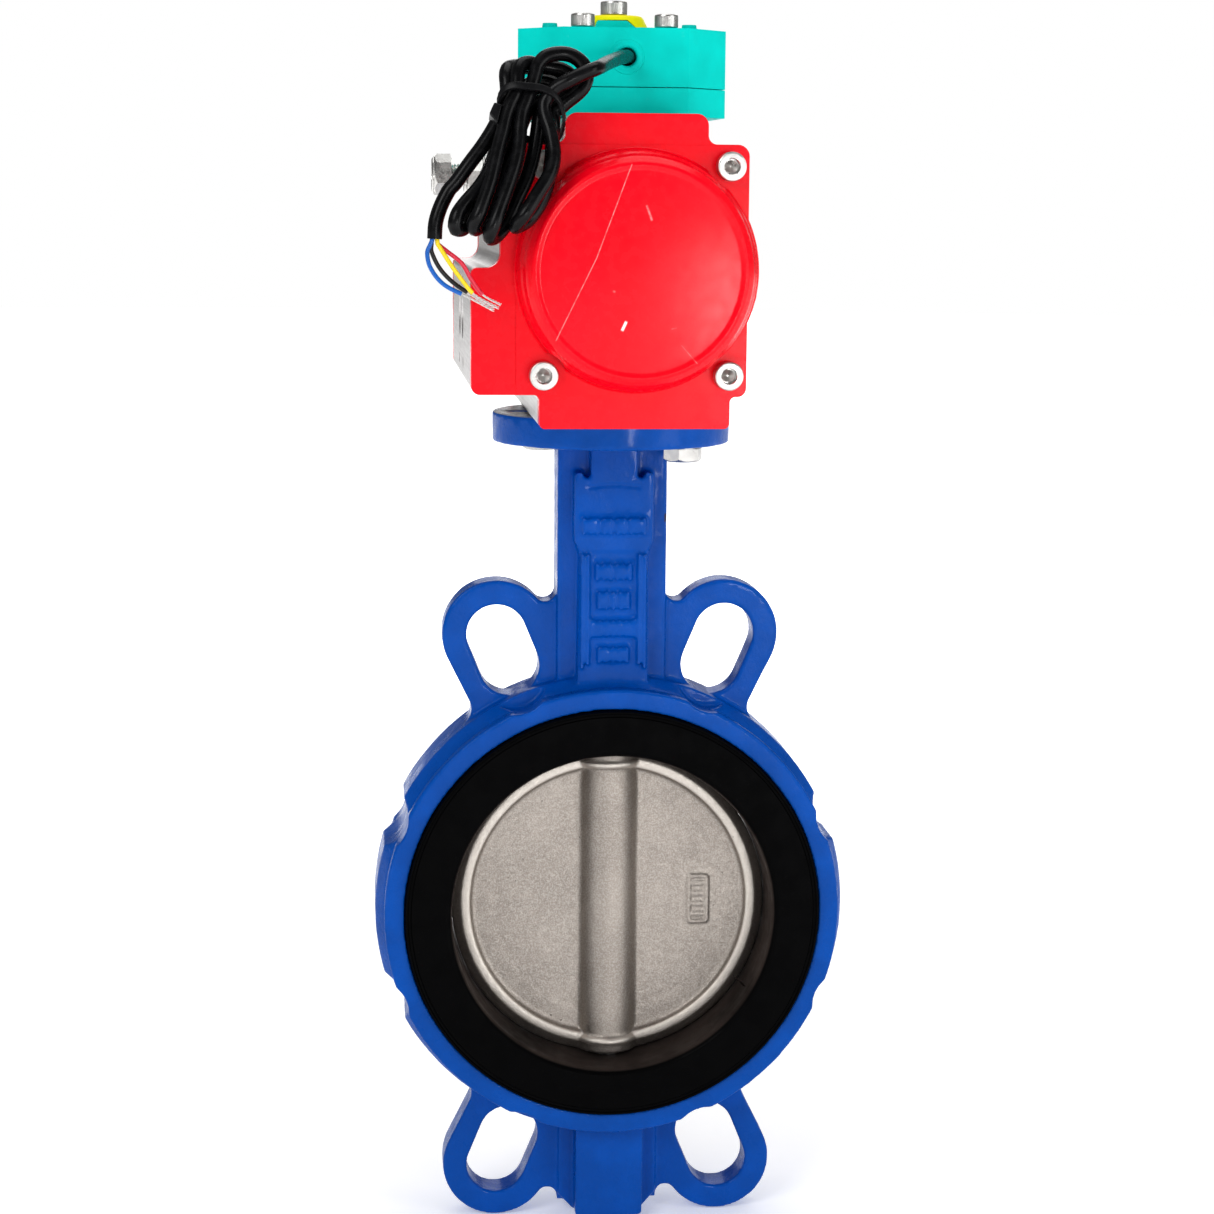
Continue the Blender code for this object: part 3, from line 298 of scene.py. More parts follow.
def cast(obj, voxel, passes, lumps, lump_size, keep):
    """Turns a crisp union into a casting: even mesh, rounded corners and a slightly uneven skin."""
    modify(obj, "REMESH", mode="VOXEL", voxel_size=voxel * MM)
    modify(obj, "SMOOTH", factor=0.5, iterations=passes)
    clouds = bpy.data.textures.new(obj.name + "_lumps", "CLOUDS")
    clouds.noise_scale = lump_size * MM
    clouds.noise_depth = 2
    modify(obj, "DISPLACE", texture=clouds, texture_coords="LOCAL", strength=lumps * MM, mid_level=0.5)
    modify(obj, "DECIMATE", ratio=keep)
    obj = bake(obj)
    obj.data.shade_smooth()
    return obj


def merged(name, objects):
    """One object from several closed meshes."""
    form = bmesh.new()
    for obj in objects:
        obj.data.transform(obj.matrix_world)
        form.from_mesh(obj.data)
        drop(obj)
    return made_from(name, form)


def hexagon(across_flats):
    return arc((0, 0), across_flats / 2 / math.cos(math.radians(30)), 0, 300, 5)


def smooth_route(points, spacing):
    """Evenly spaced points on a smooth curve through the given points."""
    knots = [Vector(point) for point in points]
    knots = [knots[0] * 2 - knots[1]] + knots + [knots[-1] * 2 - knots[-2]]
    dense = []
    for index in range(1, len(knots) - 2):
        before, start, end, after = knots[index - 1 : index + 3]
        for step in range(20):
            t = step / 20
            point = (
                start * 2
                + (end - before) * t
                + (before * 2 - start * 5 + end * 4 - after) * t**2
                + (start * 3 - before - end * 3 + after) * t**3
            ) * 0.5
            dense.append(point)
    dense.append(knots[-2])
    lengths = [0.0]
    for first, second in zip(dense, dense[1:]):
        lengths.append(lengths[-1] + (second - first).length)
    count = max(2, round(lengths[-1] / spacing))
    route, place = [], 0
    for step in range(count + 1):
        wanted = lengths[-1] * step / count
        while place < len(dense) - 2 and lengths[place + 1] < wanted:
            place += 1
        part = (wanted - lengths[place]) / (lengths[place + 1] - lengths[place])
        route.append(dense[place].lerp(dense[place + 1], min(1.0, part)))
    return route


def tube(name, points, radius, spacing, sides=4):
    curve = bpy.data.curves.new(name, "CURVE")
    curve.dimensions = "3D"
    curve.bevel_depth = radius * MM
    curve.bevel_resolution = sides
    curve.use_fill_caps = True
    route = smooth_route(points, spacing)
    spline = curve.splines.new("POLY")
    spline.points.add(len(route) - 1)
    for point, place in zip(spline.points, route):
        point.co = (*(place * MM), 1)
    spline.use_smooth = True
    return add_object(name, curve)


def lobe_twist(route, radius, turns, lay, strands=3):
    """Routes of bare wire strands that twist round a core's end."""
    for strand in range(strands):
        points = []
        for index, place in enumerate(route):
            part = index / len(route)
            turn = 2 * math.pi * (strand / strands + turns * part)
            out = Vector((math.cos(turn), 0.6 * math.sin(turn), math.sin(turn)))
            points.append(place + out * radius * (1 + lay * part))
        yield points


def give(obj, look, *nodes, body="housing"):
    obj.data.materials.clear()
    obj.data.materials.append(look)
    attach(obj, body)
    if nodes:
        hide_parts(*nodes)
    return obj


# --------------------------------------------------------------- materials


class Look:
    """A node material on one Principled shader, in the object's own coordinates."""

    def __init__(self, name, roughness, metallic=0.0, specular=0.5, coat=0.0, coat_roughness=0.1):
        self.made = bpy.data.materials.new(name)
        self.made.use_nodes = True
        self.tree = self.made.node_tree
        self.shader = self.tree.nodes["Principled BSDF"]
        self.set("Roughness", roughness)
        self.set("Metallic", metallic)
        self.set("Specular IOR Level", specular)
        self.set("Coat Weight", coat)
        self.set("Coat Roughness", coat_roughness)
        self.place = self.tree.nodes.new("ShaderNodeTexCoord").outputs["Object"]

    def set(self, socket, value):
        self.shader.inputs[socket].default_value = value

    def feed(self, socket, value):
        """Links an output to a socket, or sets the socket to a number, a vector or a colour."""
        if isinstance(value, bpy.types.NodeSocket):
            self.tree.links.new(value, socket)
        else:
            socket.default_value = (*value, 1.0) if socket.type == "RGBA" else value

    def to(self, name, output):
        self.tree.links.new(output, self.shader.inputs[name])

    def node(self, kind, **inputs):
        made = self.tree.nodes.new(kind)
        for name, value in inputs.items():
            self.feed(made.inputs[name.replace("_", " ")], value)
        return made

    def stretched(self, x, y, z):
        return self.node("ShaderNodeMapping", Vector=self.place, Scale=(x, y, z)).outputs["Vector"]

    def noise(self, scale, detail=3.0, rough=0.5, place=None):
        place = place or self.place
        made = self.node("ShaderNodeTexNoise", Vector=place, Scale=scale, Detail=detail, Roughness=rough)
        return made.outputs["Fac"]

    def cells(self, scale):
        return self.node("ShaderNodeTexVoronoi", Vector=self.place, Scale=scale).outputs["Distance"]

    def range(self, value, low, high, to_low=0.0, to_high=1.0):
        limits = {"From_Min": low, "From_Max": high, "To_Min": to_low, "To_Max": to_high}
        made = self.node("ShaderNodeMapRange", Value=value, **limits)
        made.interpolation_type = "SMOOTHSTEP"
        return made.outputs["Result"]

    def math(self, operation, *values):
        made = self.tree.nodes.new("ShaderNodeMath")
        made.operation = operation
        for socket, value in zip(made.inputs, values):
            self.feed(socket, value)
        return made.outputs[0]

    def times(self, first, second):
        return self.math("MULTIPLY", first, second)

    def mix(self, amount, first, second):
        made = self.tree.nodes.new("ShaderNodeMix")
        made.data_type = "RGBA"
        for index, value in ((0, amount), (6, first), (7, second)):
            self.feed(made.inputs[index], value)
        return made.outputs[2]

    def patches(self, scale, first, second, detail=4, rough=0.5, low=0.3, high=0.7):
        """Two colours that drift into each other."""
        return self.mix(self.range(self.noise(scale, detail, rough), low, high), first, second)

    def roughness(self, scale, low, high, detail=3, rough=0.5):
        self.to("Roughness", self.range(self.noise(scale, detail, rough), 0.3, 0.7, low, high))

    def reach(self):
        """The distance from the bore's axis."""
        x, _, z = self.axes()
        return self.math("SQRT", self.math("ADD", self.times(x, x), self.times(z, z)))

    def edges(self, low, high):
        """Where the mesh is convex, from 0 on flats to 1 on its edges."""
        pointed = self.tree.nodes.new("ShaderNodeNewGeometry").outputs["Pointiness"]
        return self.range(pointed, low, high)

    def axes(self):
        split = self.node("ShaderNodeSeparateXYZ", Vector=self.place)
        return split.outputs["X"], split.outputs["Y"], split.outputs["Z"]

    def band(self, value, low, high, soft):
        rise = self.range(value, (low - soft) * MM, (low + soft) * MM)
        fall = self.range(value, (high - soft) * MM, (high + soft) * MM, 1.0, 0.0)
        return self.times(rise, fall)

    def stroke(self, start, end, width, soft):
        """A thin straight mark on a face towards -Y, from start to end in (X, Z)."""
        x, _, z = self.axes()
        run = Vector(end) - Vector(start)
        along = run.normalized()
        dx = self.math("SUBTRACT", x, start[0] * MM)
        dz = self.math("SUBTRACT", z, start[1] * MM)
        forth = self.math("ADD", self.times(dx, along[0]), self.times(dz, along[1]))
        aside = self.math("ADD", self.times(dx, -along[1]), self.times(dz, along[0]))
        distance = self.math("ABSOLUTE", aside)
        across = self.range(distance, (width - soft) * MM, (width + soft) * MM, 1.0, 0.0)
        return self.times(across, self.band(forth, 0, run.length, soft * 3))

    def bump(self, *layers):
        """Bump layers of (height, depth in millimetres)."""
        normal = None
        for height, depth in layers:
            made = self.node("ShaderNodeBump", Height=height, Distance=depth * MM, Strength=1.0)
            if normal:
                self.feed(made.inputs["Normal"], normal)
            normal = made.outputs["Normal"]
        self.to("Normal", normal)


def blue_epoxy():
    """Brushed epoxy over cast iron, with a painted highlight on its edges, chipped on the neck and bare on the
    flange's top.
    """
    look = Look("blue_epoxy", 0.3, specular=0.06, coat=0.14, coat_roughness=0.1)
    base = look.patches(45, (0.0, 0.069, 0.34), (0.0, 0.083, 0.405), 4, 0.6, 0.35, 0.68)
    # painted highlight: convex edges are mixed towards a pale lavender blue
    base = look.mix(look.times(look.edges(0.53, 0.62), 0.35), base, (0.16, 0.27, 0.66))
    x, y, z = look.axes()
    chips = look.range(look.noise(330, 5, 0.7, look.stretched(1, 1, 0.6)), 0.56, 0.6)
    worn = look.times(look.band(z, 146, 167, 2), look.range(x, 19.4 * MM, 20.3 * MM))
    worn = look.times(worn, look.range(y, -8.0 * MM, -5.5 * MM, 1.0, 0.0))
    base = look.mix(look.times(chips, worn), base, (0.035, 0.02, 0.016))
    bare = look.times(look.range(z, 190.25 * MM, 190.45 * MM), look.range(look.noise(60, 3), 0.2, 0.5))
    look.to("Base Color", look.mix(bare, base, (0.33, 0.33, 0.34)))
    look.roughness(160, 0.22, 0.4)
    look.bump((look.noise(900, 2), 0.05), (look.noise(220, 4, 0.6), 0.28))
    return look.made


def black_rubber():
    """Dusty rubber, browner on the wall of the bore."""
    look = Look("black_rubber", 0.5, specular=0.04)
    dust = look.range(look.noise(700, 5, 0.7), 0.6, 0.78)
    base = look.mix(look.times(dust, 0.2), (0.0008, 0.0008, 0.001), (0.02, 0.02, 0.022))
    uneven = look.range(look.noise(40, 4), 0.3, 0.6, 0.5, 1.0)
    wall = look.times(look.range(look.reach(), 62.4 * MM, 61.7 * MM), uneven)
    look.to("Base Color", look.mix(wall, base, (0.045, 0.034, 0.03)))
    look.roughness(120, 0.36, 0.6, 4)
    look.bump((look.noise(1600, 3), 0.025), (look.noise(90, 2), 0.2))
    return look.made


def cast_steel():
    """Blasted casting with grains and pits, with a painted highlight on the flat band near its rim and painted
    shade on the sloped band outside it.
    """
    look = Look("cast_stainless", 0.42, metallic=0.95)
    base = look.patches(38, (0.33, 0.294, 0.263), (0.415, 0.372, 0.334), 5, 0.6)
    grains = look.range(look.noise(1500, 3, 0.7), 0.42, 0.62)
    base = look.mix(look.times(grains, 0.3), base, (0.68, 0.65, 0.61))
    reach = look.reach()
    # painted highlight: the flat band from 53.9 to 57.2 mm off the axis is mixed towards a pale steel
    base = look.mix(look.times(look.band(reach, 53.9, 57.2, 0.25), 0.75), base, (0.78, 0.73, 0.67))
    # painted shade: the sloped band beyond 57.4 mm off the axis is darkened
    base = look.mix(look.range(reach, 57.4 * MM, 58.0 * MM, 0.0, 0.5), base, (0.3, 0.27, 0.25))
    pits = look.range(look.cells(260), 0.05, 0.11, 1.0, 0.0)
    spots = look.times(pits, look.range(look.noise(70, 2), 0.56, 0.64))
    look.to("Base Color", look.mix(look.times(spots, 0.6), base, (0.12, 0.11, 0.1)))
    look.roughness(900, 0.38, 0.56, 4)
    look.bump((look.noise(1500, 4, 0.7), 0.11), (look.noise(260, 3), 0.12), (spots, -0.15))
    return look.made


def bright_steel(name="bright_steel", tone=(0.62, 0.61, 0.59)):
    """Turned or drawn steel with faint smears."""
    look = Look(name, 0.32, metallic=1.0)
    dark = tuple(value * 0.55 for value in tone)
    smears = look.range(look.noise(90, 4, 0.6), 0.5, 0.75)
    look.to("Base Color", look.mix(look.times(smears, 0.4), tone, dark))
    look.roughness(500, 0.27, 0.42)
    look.bump((look.noise(1500, 2), 0.006), (look.noise(300, 2), 0.015))
    return look.made


def satin_alloy():
    """Extruded aluminium with die lines along Y."""
    look = Look("satin_alloy", 0.36, metallic=0.8)
    lines = look.noise(1, 3, 0.7, look.stretched(1400, 14, 1400))
    tone = look.mix(look.range(lines, 0.3, 0.7), (0.52, 0.505, 0.495), (0.66, 0.645, 0.635))
    stain = look.range(look.noise(120, 5, 0.65), 0.6, 0.74)
    look.to("Base Color", look.mix(look.times(stain, 0.35), tone, (0.32, 0.31, 0.3)))
    look.roughness(300, 0.3, 0.44)
    look.bump((lines, 0.02), (look.noise(1500, 3), 0.015))
    return look.made


def red_paint():
    """Gloss paint with scratches and one chip on the front dome, and a painted highlight in patches on its
    edges.
    """
    look = Look("red_paint", 0.26, specular=0.14, coat=0.14, coat_roughness=0.14)
    base = look.patches(30, (0.8, 0.0, 0.011), (0.87, 0.0, 0.014))
    front = look.range(look.axes()[1], -100.5 * MM, -99.5 * MM, 1.0, 0.0)
    marks = look.stroke((-3.5, 281.7), (-15.2, 250.4), 0.16, 0.1)
    for start, end, width in (
        ((-15.2, 250.4), (-28.9, 222.4), 0.14),
        ((1.6, 268.0), (3.4, 263.0), 0.35),
        ((14.0, 221.0), (19.5, 214.8), 0.12),
        ((-9.5, 239.2), (-8.9, 239.0), 0.3),
        ((10.5, 226.5), (12.2, 226.9), 0.18),
    ):
        marks = look.math("MAXIMUM", marks, look.stroke(start, end, width, 0.12))
    marks = look.times(marks, look.range(look.noise(400, 4, 0.7), 0.35, 0.6, 0.25, 0.75))
    marks = look.times(marks, front)
    base = look.mix(marks, base, (0.95, 0.36, 0.36))
    chip = look.times(look.stroke((-6.4, 225.9), (-5.0, 229.0), 0.5, 0.12), front)
    base = look.mix(chip, base, (0.9, 0.84, 0.82))
    # painted highlight: convex edges are mixed in patches towards a pale pink
    edge_highlight_patches = look.times(look.edges(0.56, 0.68), look.range(look.noise(90, 5, 0.7), 0.45, 0.62))
    look.to("Base Color", look.mix(look.times(edge_highlight_patches, 0.35), base, (0.92, 0.3, 0.3)))
    look.roughness(260, 0.2, 0.32)
    look.bump((look.noise(520, 2), 0.02), (look.noise(60, 2), 0.08), (marks, -0.04), (chip, -0.12))
    return look.made


def plastic(name, tone, roughness=0.38, specular=0.4):
    look = Look(name, roughness, specular=specular)
    base = look.patches(55, tuple(value * 0.86 for value in tone), tone)
    paler = tuple(value * 0.8 + 0.16 for value in tone)
    scuffs = look.times(look.range(look.noise(420, 5, 0.7), 0.6, 0.75), 0.12)
    look.to("Base Color", look.mix(scuffs, base, paler))
    look.roughness(300, roughness - 0.07, roughness + 0.08)
    look.bump((look.noise(2200, 2), 0.02), (look.noise(140, 2), 0.04))
    return look.made


def jacket():
    look = Look("cable_jacket", 0.26, specular=0.2)
    look.to("Base Color", look.patches(300, (0.002, 0.002, 0.0025), (0.005, 0.005, 0.006), low=0.4))
    look.roughness(300, 0.22, 0.32, rough=0.6)
    look.bump((look.noise(900, 2), 0.002), (look.noise(170, 2), 0.03))
    return look.made


def bearing_bronze():
    look = Look("bearing_bronze", 0.38, metallic=1.0)
    look.to("Base Color", look.patches(300, (0.42, 0.25, 0.09), (0.58, 0.37, 0.15)))
    look.bump((look.noise(1200, 3), 0.03))
    return look.made


BLUE = blue_epoxy()
RUBBER = black_rubber()
CAST = cast_steel()
STEEL = bright_steel()
DULL_STEEL = bright_steel("plated_steel", (0.5, 0.49, 0.47))
ALLOY = satin_alloy()
RED = red_paint()
TEAL = plastic("teal_plastic", (0.0, 0.65, 0.58), 0.42, 0.05)
YELLOW = plastic("yellow_plastic", (0.93, 0.84, 0.003), 0.4, 0.12)
ACETAL = plastic("white_acetal", (0.8, 0.8, 0.76), 0.4)
BOARD = plastic("circuit_board", (0.02, 0.2, 0.06), 0.35)
JACKET = jacket()
TIE_NYLON = plastic("tie_nylon", (0.006, 0.006, 0.007), 0.34, 0.25)
BRONZE = bearing_bronze()
CORES = {
    "blue": plastic("core_blue_skin", (0.01, 0.13, 0.5), 0.32),
    "black": plastic("core_black_skin", (0.014, 0.014, 0.015), 0.32),
    "yellow": plastic("core_yellow_skin", (0.92, 0.7, 0.02), 0.32),
    "red": plastic("core_red_skin", (0.72, 0.035, 0.075), 0.32),
}
TINNED = bright_steel("tinned_wire", (0.82, 0.81, 0.79))


# ------------------------------------------------------------------ camera


def make_camera():
    yaw, pitch, roll = 0.096, 0.1532, 0.008
    ahead = Vector((math.sin(yaw) * math.cos(pitch), math.cos(yaw) * math.cos(pitch), -math.sin(pitch)))
    level = Vector((math.cos(yaw), -math.sin(yaw), 0))
    above = level.cross(ahead)
    right = level * math.cos(roll) + above * math.sin(roll)
    up = above * math.cos(roll) - level * math.sin(roll)
    data = bpy.data.cameras.new("camera")
    data.sensor_width = 36
    data.lens = 77.07
    data.clip_end = 50
    camera = add_object("camera", data)
    turn = Matrix((right, up, -ahead)).transposed()
    camera.matrix_world = Matrix.Translation(Vector((-95.72, -985.49, 267.84)) * MM) @ turn.to_4x4()
    bpy.context.scene.camera = camera


make_camera()


# ------------------------------------------------------------------- cable


def hang(points):
    """Points of the hank's own frame, whose origin is its waist, put into the valve's frame."""
    place = Matrix.Translation(Vector(HANK_WAIST)) @ spin(-HANK_TILT, "X")
    return [tuple(place @ Vector(point)) for point in points]


LEAD = [
    (0.3, -43.5, 320.2), (0.1, -49.0, 320.2), (-2.6, -57.5, 319.5), (-6.8, -70.5, 317.7),
    (-10.9, -84.5, 315.7), (-15.2, -98.0, 313.4),
]
FOLDS = [
    (18.2, -7.2, 10.3), (13.0, -7.0, 7.6), (9.0, -5.6, 5.8), (6.4, -4.5, 3.2), (4.9, -3.8, 0.2),
    (5.3, -3.4, -3.8), (6.5, -3.4, -7.8), (7.4, -3.6, -12.5), (7.8, -4.0, -17.8), (6.4, -4.4, -24.2),
    (2.9, -4.6, -30.2), (-0.6, -4.6, -35.8), (-3.2, -3.6, -39.4), (-5.4, 0.0, -41.3), (-1.2, 3.8, -38.0),
    (2.5, 4.2, -33.2), (4.9, 4.2, -28.2), (6.6, 4.0, -22.5), (7.6, 3.4, -16.0), (8.0, 2.6, -9.5),
    (8.2, 1.4, -3.6), (8.6, 0.6, 0.0), (10.4, 0.4, 0.8), (12.8, -0.2, 2.8), (16.0, -0.8, 5.2),
    (18.6, -1.2, 8.0), (19.7, -1.6, 11.2), (19.2, -2.0, 14.6), (17.0, -2.4, 17.2), (13.6, -2.8, 18.8),
    (9.7, -3.2, 18.8), (5.8, -3.5, 17.5), (3.2, -3.6, 14.4), (2.2, -3.6, 11.2), (1.3, -3.6, 8.0),
    (0.2, -3.6, 4.6), (-1.2, -3.6, 1.0), (-2.5, -3.5, -2.6), (-3.4, -3.6, -8.9), (-3.6, -3.8, -12.8),
    (-4.9, -4.2, -20.2), (-7.4, -4.5, -28.1), (-9.8, -4.5, -34.6), (-12.2, -4.0, -41.0), (-13.9, -1.6, -45.0),
    (-12.6, 2.6, -44.4), (-9.6, 4.4, -41.0), (-6.8, 4.6, -36.0), (-4.2, 4.4, -30.0), (-1.0, 4.2, -23.0),
    (1.3, 3.8, -15.5), (2.8, 3.0, -8.0), (3.6, 2.0, -2.5), (4.2, 1.6, 0.0), (6.4, 2.2, 2.6),
    (9.6, 3.2, 5.4), (13.0, 3.6, 8.2), (15.4, 3.4, 11.0), (14.6, 3.0, 13.8), (11.6, 2.6, 15.6),
    (7.4, 2.2, 16.2), (3.4, 1.2, 16.6), (0.2, -0.8, 16.4), (-2.4, -2.6, 14.8), (-3.7, -3.4, 11.4),
    (-3.9, -3.6, 7.6), (-4.6, -3.6, 4.0), (-6.4, -3.6, 0.2), (-7.8, -3.5, -3.9), (-9.1, -3.6, -9.4),
    (-10.6, -3.9, -15.0), (-12.0, -4.2, -21.0), (-13.6, -4.4, -27.6), (-15.6, -4.4, -33.4), (-17.6, -4.0, -38.6),
    (-19.2, -1.8, -41.4), (-18.4, 1.8, -41.6), (-15.6, 4.2, -38.4), (-12.8, 4.6, -33.0), (-10.6, 4.6, -27.0),
    (-8.2, 4.6, -20.0), (-5.6, 4.4, -13.0), (-3.4, 4.4, -6.5), (-0.8, 4.4, 0.0), (1.6, 5.0, 3.4),
    (5.0, 6.0, 5.6), (8.6, 7.2, 7.4), (10.6, 8.0, 9.8), (9.4, 8.0, 12.4), (6.0, 7.2, 13.2),
    (2.2, 6.0, 12.4), (-0.6, 4.4, 9.6), (-2.0, 2.6, 6.0), (-3.0, 1.2, 3.0), (-3.9, 0.4, 0.0),
    (-6.4, 0.6, -5.0), (-8.9, 0.8, -11.0), (-11.6, 0.6, -17.6), (-14.8, -0.2, -24.2), (-18.4, -0.6, -29.4),
    (-22.0, -1.2, -33.8), (-24.6, -1.6, -38.0), (-25.2, 0.0, -42.0), (-22.4, 2.8, -41.0), (-19.6, 4.4, -36.8),
    (-17.4, 5.0, -31.0), (-15.6, 5.2, -25.0), (-13.0, 5.2, -18.5), (-10.4, 5.0, -11.5), (-7.9, 4.8, -5.0),
    (-6.0, 4.6, 0.0), (-4.4, 6.2, 3.6), (-0.6, 8.6, 7.0), (4.6, 10.8, 9.6), (9.2, 12.2, 12.2),
    (11.0, 12.4, 15.6), (8.6, 11.6, 18.2), (3.6, 9.8, 19.0), (-1.4, 7.0, 18.4), (-4.8, 3.8, 17.0),
    (-6.8, 0.8, 14.8), (-7.4, -0.8, 11.6), (-7.2, -0.8, 8.0), (-7.2, -0.2, 4.0), (-8.6, 0.4, 0.0),
    (-10.2, 0.0, -3.4), (-12.4, 0.2, -7.6), (-15.6, 0.8, -12.6), (-19.8, 1.6, -18.2), (-24.9, 3.2, -25.0),
]
TAIL = [(-65.0, -103.0, 272.6), (-67.8, -103.6, 267.2), (-69.5, -104.0, 261.8), (-69.9, -104.0, 256.4)]
CORE_ROUTES = {
    "blue": [
        (-70.8, -104.9, 255.8), (-71.3, -104.9, 254.6), (-72.4, -105.2, 251.5), (-71.2, -105.6, 246.5),
        (-66.8, -106.0, 241.2), (-58.5, -106.4, 237.0), (-50.2, -106.6, 232.8),
    ],
    "black": [
        (-70.8, -103.1, 255.8), (-70.9, -103.1, 254.6), (-70.8, -102.9, 251.8), (-68.1, -102.6, 246.5),
        (-63.6, -102.3, 241.8), (-57.0, -102.1, 237.4), (-49.9, -102.0, 233.2),
    ],
    "yellow": [
        (-69.0, -104.9, 255.8), (-68.8, -104.9, 254.6), (-67.4, -104.8, 252.4), (-64.6, -104.7, 248.0),
        (-60.8, -104.5, 242.8), (-56.4, -104.3, 237.8), (-48.5, -104.2, 233.5),
    ],
    "red": [
        (-69.0, -103.1, 255.8), (-68.7, -103.1, 254.6), (-65.8, -102.6, 252.3), (-60.7, -101.8, 248.2),
        (-57.3, -101.0, 242.5), (-53.6, -100.3, 237.8), (-47.5, -100.0, 234.5),
    ],
}
BARE_LENGTHS = {"blue": 12.0, "black": 10.5, "yellow": 10.0, "red": 7.0}


def make_cores():
    """The four cores, each with its last few millimetres stripped to twisted tinned strands."""
    made = []
    for colour, points in CORE_ROUTES.items():
        node = f"core_{colour}"
        inside = (Vector(points[0]) + Vector(TAIL[-1])) * 0.5 + Vector((0, 0, 2.2))
        route = smooth_route([inside] + points, 0.5)
        bare = round(BARE_LENGTHS[colour] / 0.5)
        made.append(give(tube(node + "_skin", route[:-bare], 0.75, 0.5, 3), CORES[colour], node))
        for index, strand in enumerate(lobe_twist(route[-bare - 2 :], 0.2, 2.6, 1.1)):
            wire = tube(f"{node}_strand_{index + 1}", strand, 0.19, 0.5, 1)
            made.append(give(wire, TINNED, node))
    return made


def raised(value, power):
    return math.copysign(abs(value) ** power, value)


def make_tie():
    """A ratchet tie drawn tight round the hank's waist, with its lock on the left."""
    rings, steps = [], 72
    for step in range(steps):
        turn = 2 * math.pi * step / steps
        c, s = math.cos(turn), math.sin(turn)
        rise = -1.8 + 6.8 * max(0.0, s) ** 0.9 - 5.5 * max(0.0, -s) - 2.6 * c
        here = Vector((0.7 + 10.5 * raised(c, 0.62), 0.25 - 7.8 * raised(s, 0.62), rise))
        out = Vector((raised(c, 1.4) * 7.5, -raised(s, 1.4) * 10.5, 0)).normalized()
        thick = 1.15 - (0.18 if step % 2 else 0.0)
        section = [(1.25, 0), (1.15, 0.9), (0.75, thick), (-0.75, thick), (-1.15, 0.9), (-1.25, 0)]
        rings.append(hang([here + Vector((0, 0, up)) + out * proud for up, proud in section]))
    band = smooth(skin("cable_tie_band", rings, closed=True), 40)
    outline = [(-13.6, -3.6), (-11.8, 0.5), (-9.2, -0.3), (-10.9, -7.1)]
    lock = prism("cable_tie_lock", [outline], "Y", -5.5, 0.5)
    lock.data.transform(Matrix.Translation(Vector(HANK_WAIST) * MM) @ spin(-HANK_TILT, "X"))
    return [give(piece, TIE_NYLON, "cable_tie") for piece in (band, soften(lock, 0.5))]


def make_cable():
    route = LEAD + hang(FOLDS) + TAIL
    cable = tube("sensor_cable", route, CABLE_R, 1.2, 5)
    give(cable, JACKET, "cable_lead", "cable_hank", "cable_tail")
    make_tie() + make_cores()


make_cable()


# -------------------------------------------------------------- valve body


def lug_slot(sign_x, sign_z):
    """The outline of one lug's slot, which points at the bore's centre."""
    along = Vector((math.cos(math.radians(LUG_ANGLE)), math.sin(math.radians(LUG_ANGLE))))
    outline = arc(along * 114.4, 11.5, LUG_ANGLE - 90, LUG_ANGLE + 90, 24)
    outline += arc(along * 101.4, 11.5, LUG_ANGLE + 90, LUG_ANGLE + 270, 24)
    return [(x * sign_x, z * sign_z) for x, z in outline]


def lug_plate(name, notch, notch_r, side_x, side_end, sign_z):
    """Two lugs and the web between them, with their slots."""
    lug, lug_r = (43.7, 105.6), 20.8
    toward_notch = math.degrees(math.atan2(notch[1] - lug[1], notch[0] - lug[0]))
    right = [(side_x, side_end)]
    right += arc(notch, notch_r, 180, 180 + toward_notch, 12)
    right += arc(lug, lug_r, toward_notch, -26.4, 36)
    right += arc((60.33, 76.58), 7.0, 153.6, 231.8, 10)
    right.append((50.0, 60.0))
    whole = [(x, z * sign_z) for x, z in right] + [(-x, z * sign_z) for x, z in reversed(right)]
    return prism(name, [whole] + [lug_slot(side, sign_z) for side in (1, -1)], "Y", -7.0, 7.0)


def back(profile):
    """A profile's other half, behind the middle plane."""
    return [(r, -y) for r, y in reversed(profile)]


def mirrored(side):
    return rounded(side + [(-x, z, r) for x, z, r in reversed(side)])


def neck_relief():
    """Raised bars and rails on both broad faces of the neck. The bars stand for a foundry's cast marks."""
    made = []
    rows = [(148.5, 10, 2.55, 6.6, 18.3), (131.0, 6, 2.5, 6.2, 17.7), (120.0, 5, 2.7, 6.8, 17.7)]
    rows += [(109.3, 7, 2.5, 6.6, 17.7), (99.2, 5, 2.6, 6.2, 17.7)]
    for side, _ in SIDES:
        for z, count, pitch, height, proud in rows:
            for index in range(count):
                x = (index - (count - 1) / 2) * pitch
                outline = panel(x - 0.7, z - height / 2, x + 0.7, z + height / 2, 0.65)
                made.append(prism(f"bar_{side}_{z}_{index}", [outline], "Y", *span(side, NECK_Y, proud)))
        for x in (-12.0, -9.7, 9.7, 12.0):
            rail = panel(x - 0.55, 95.5 if abs(x) < 11 else 94.0, x + 0.55, 138.2, 0.5)
            made.append(prism(f"rail_{side}_{x}", [rail], "Y", *span(side, NECK_Y, 18.0)))
    return made


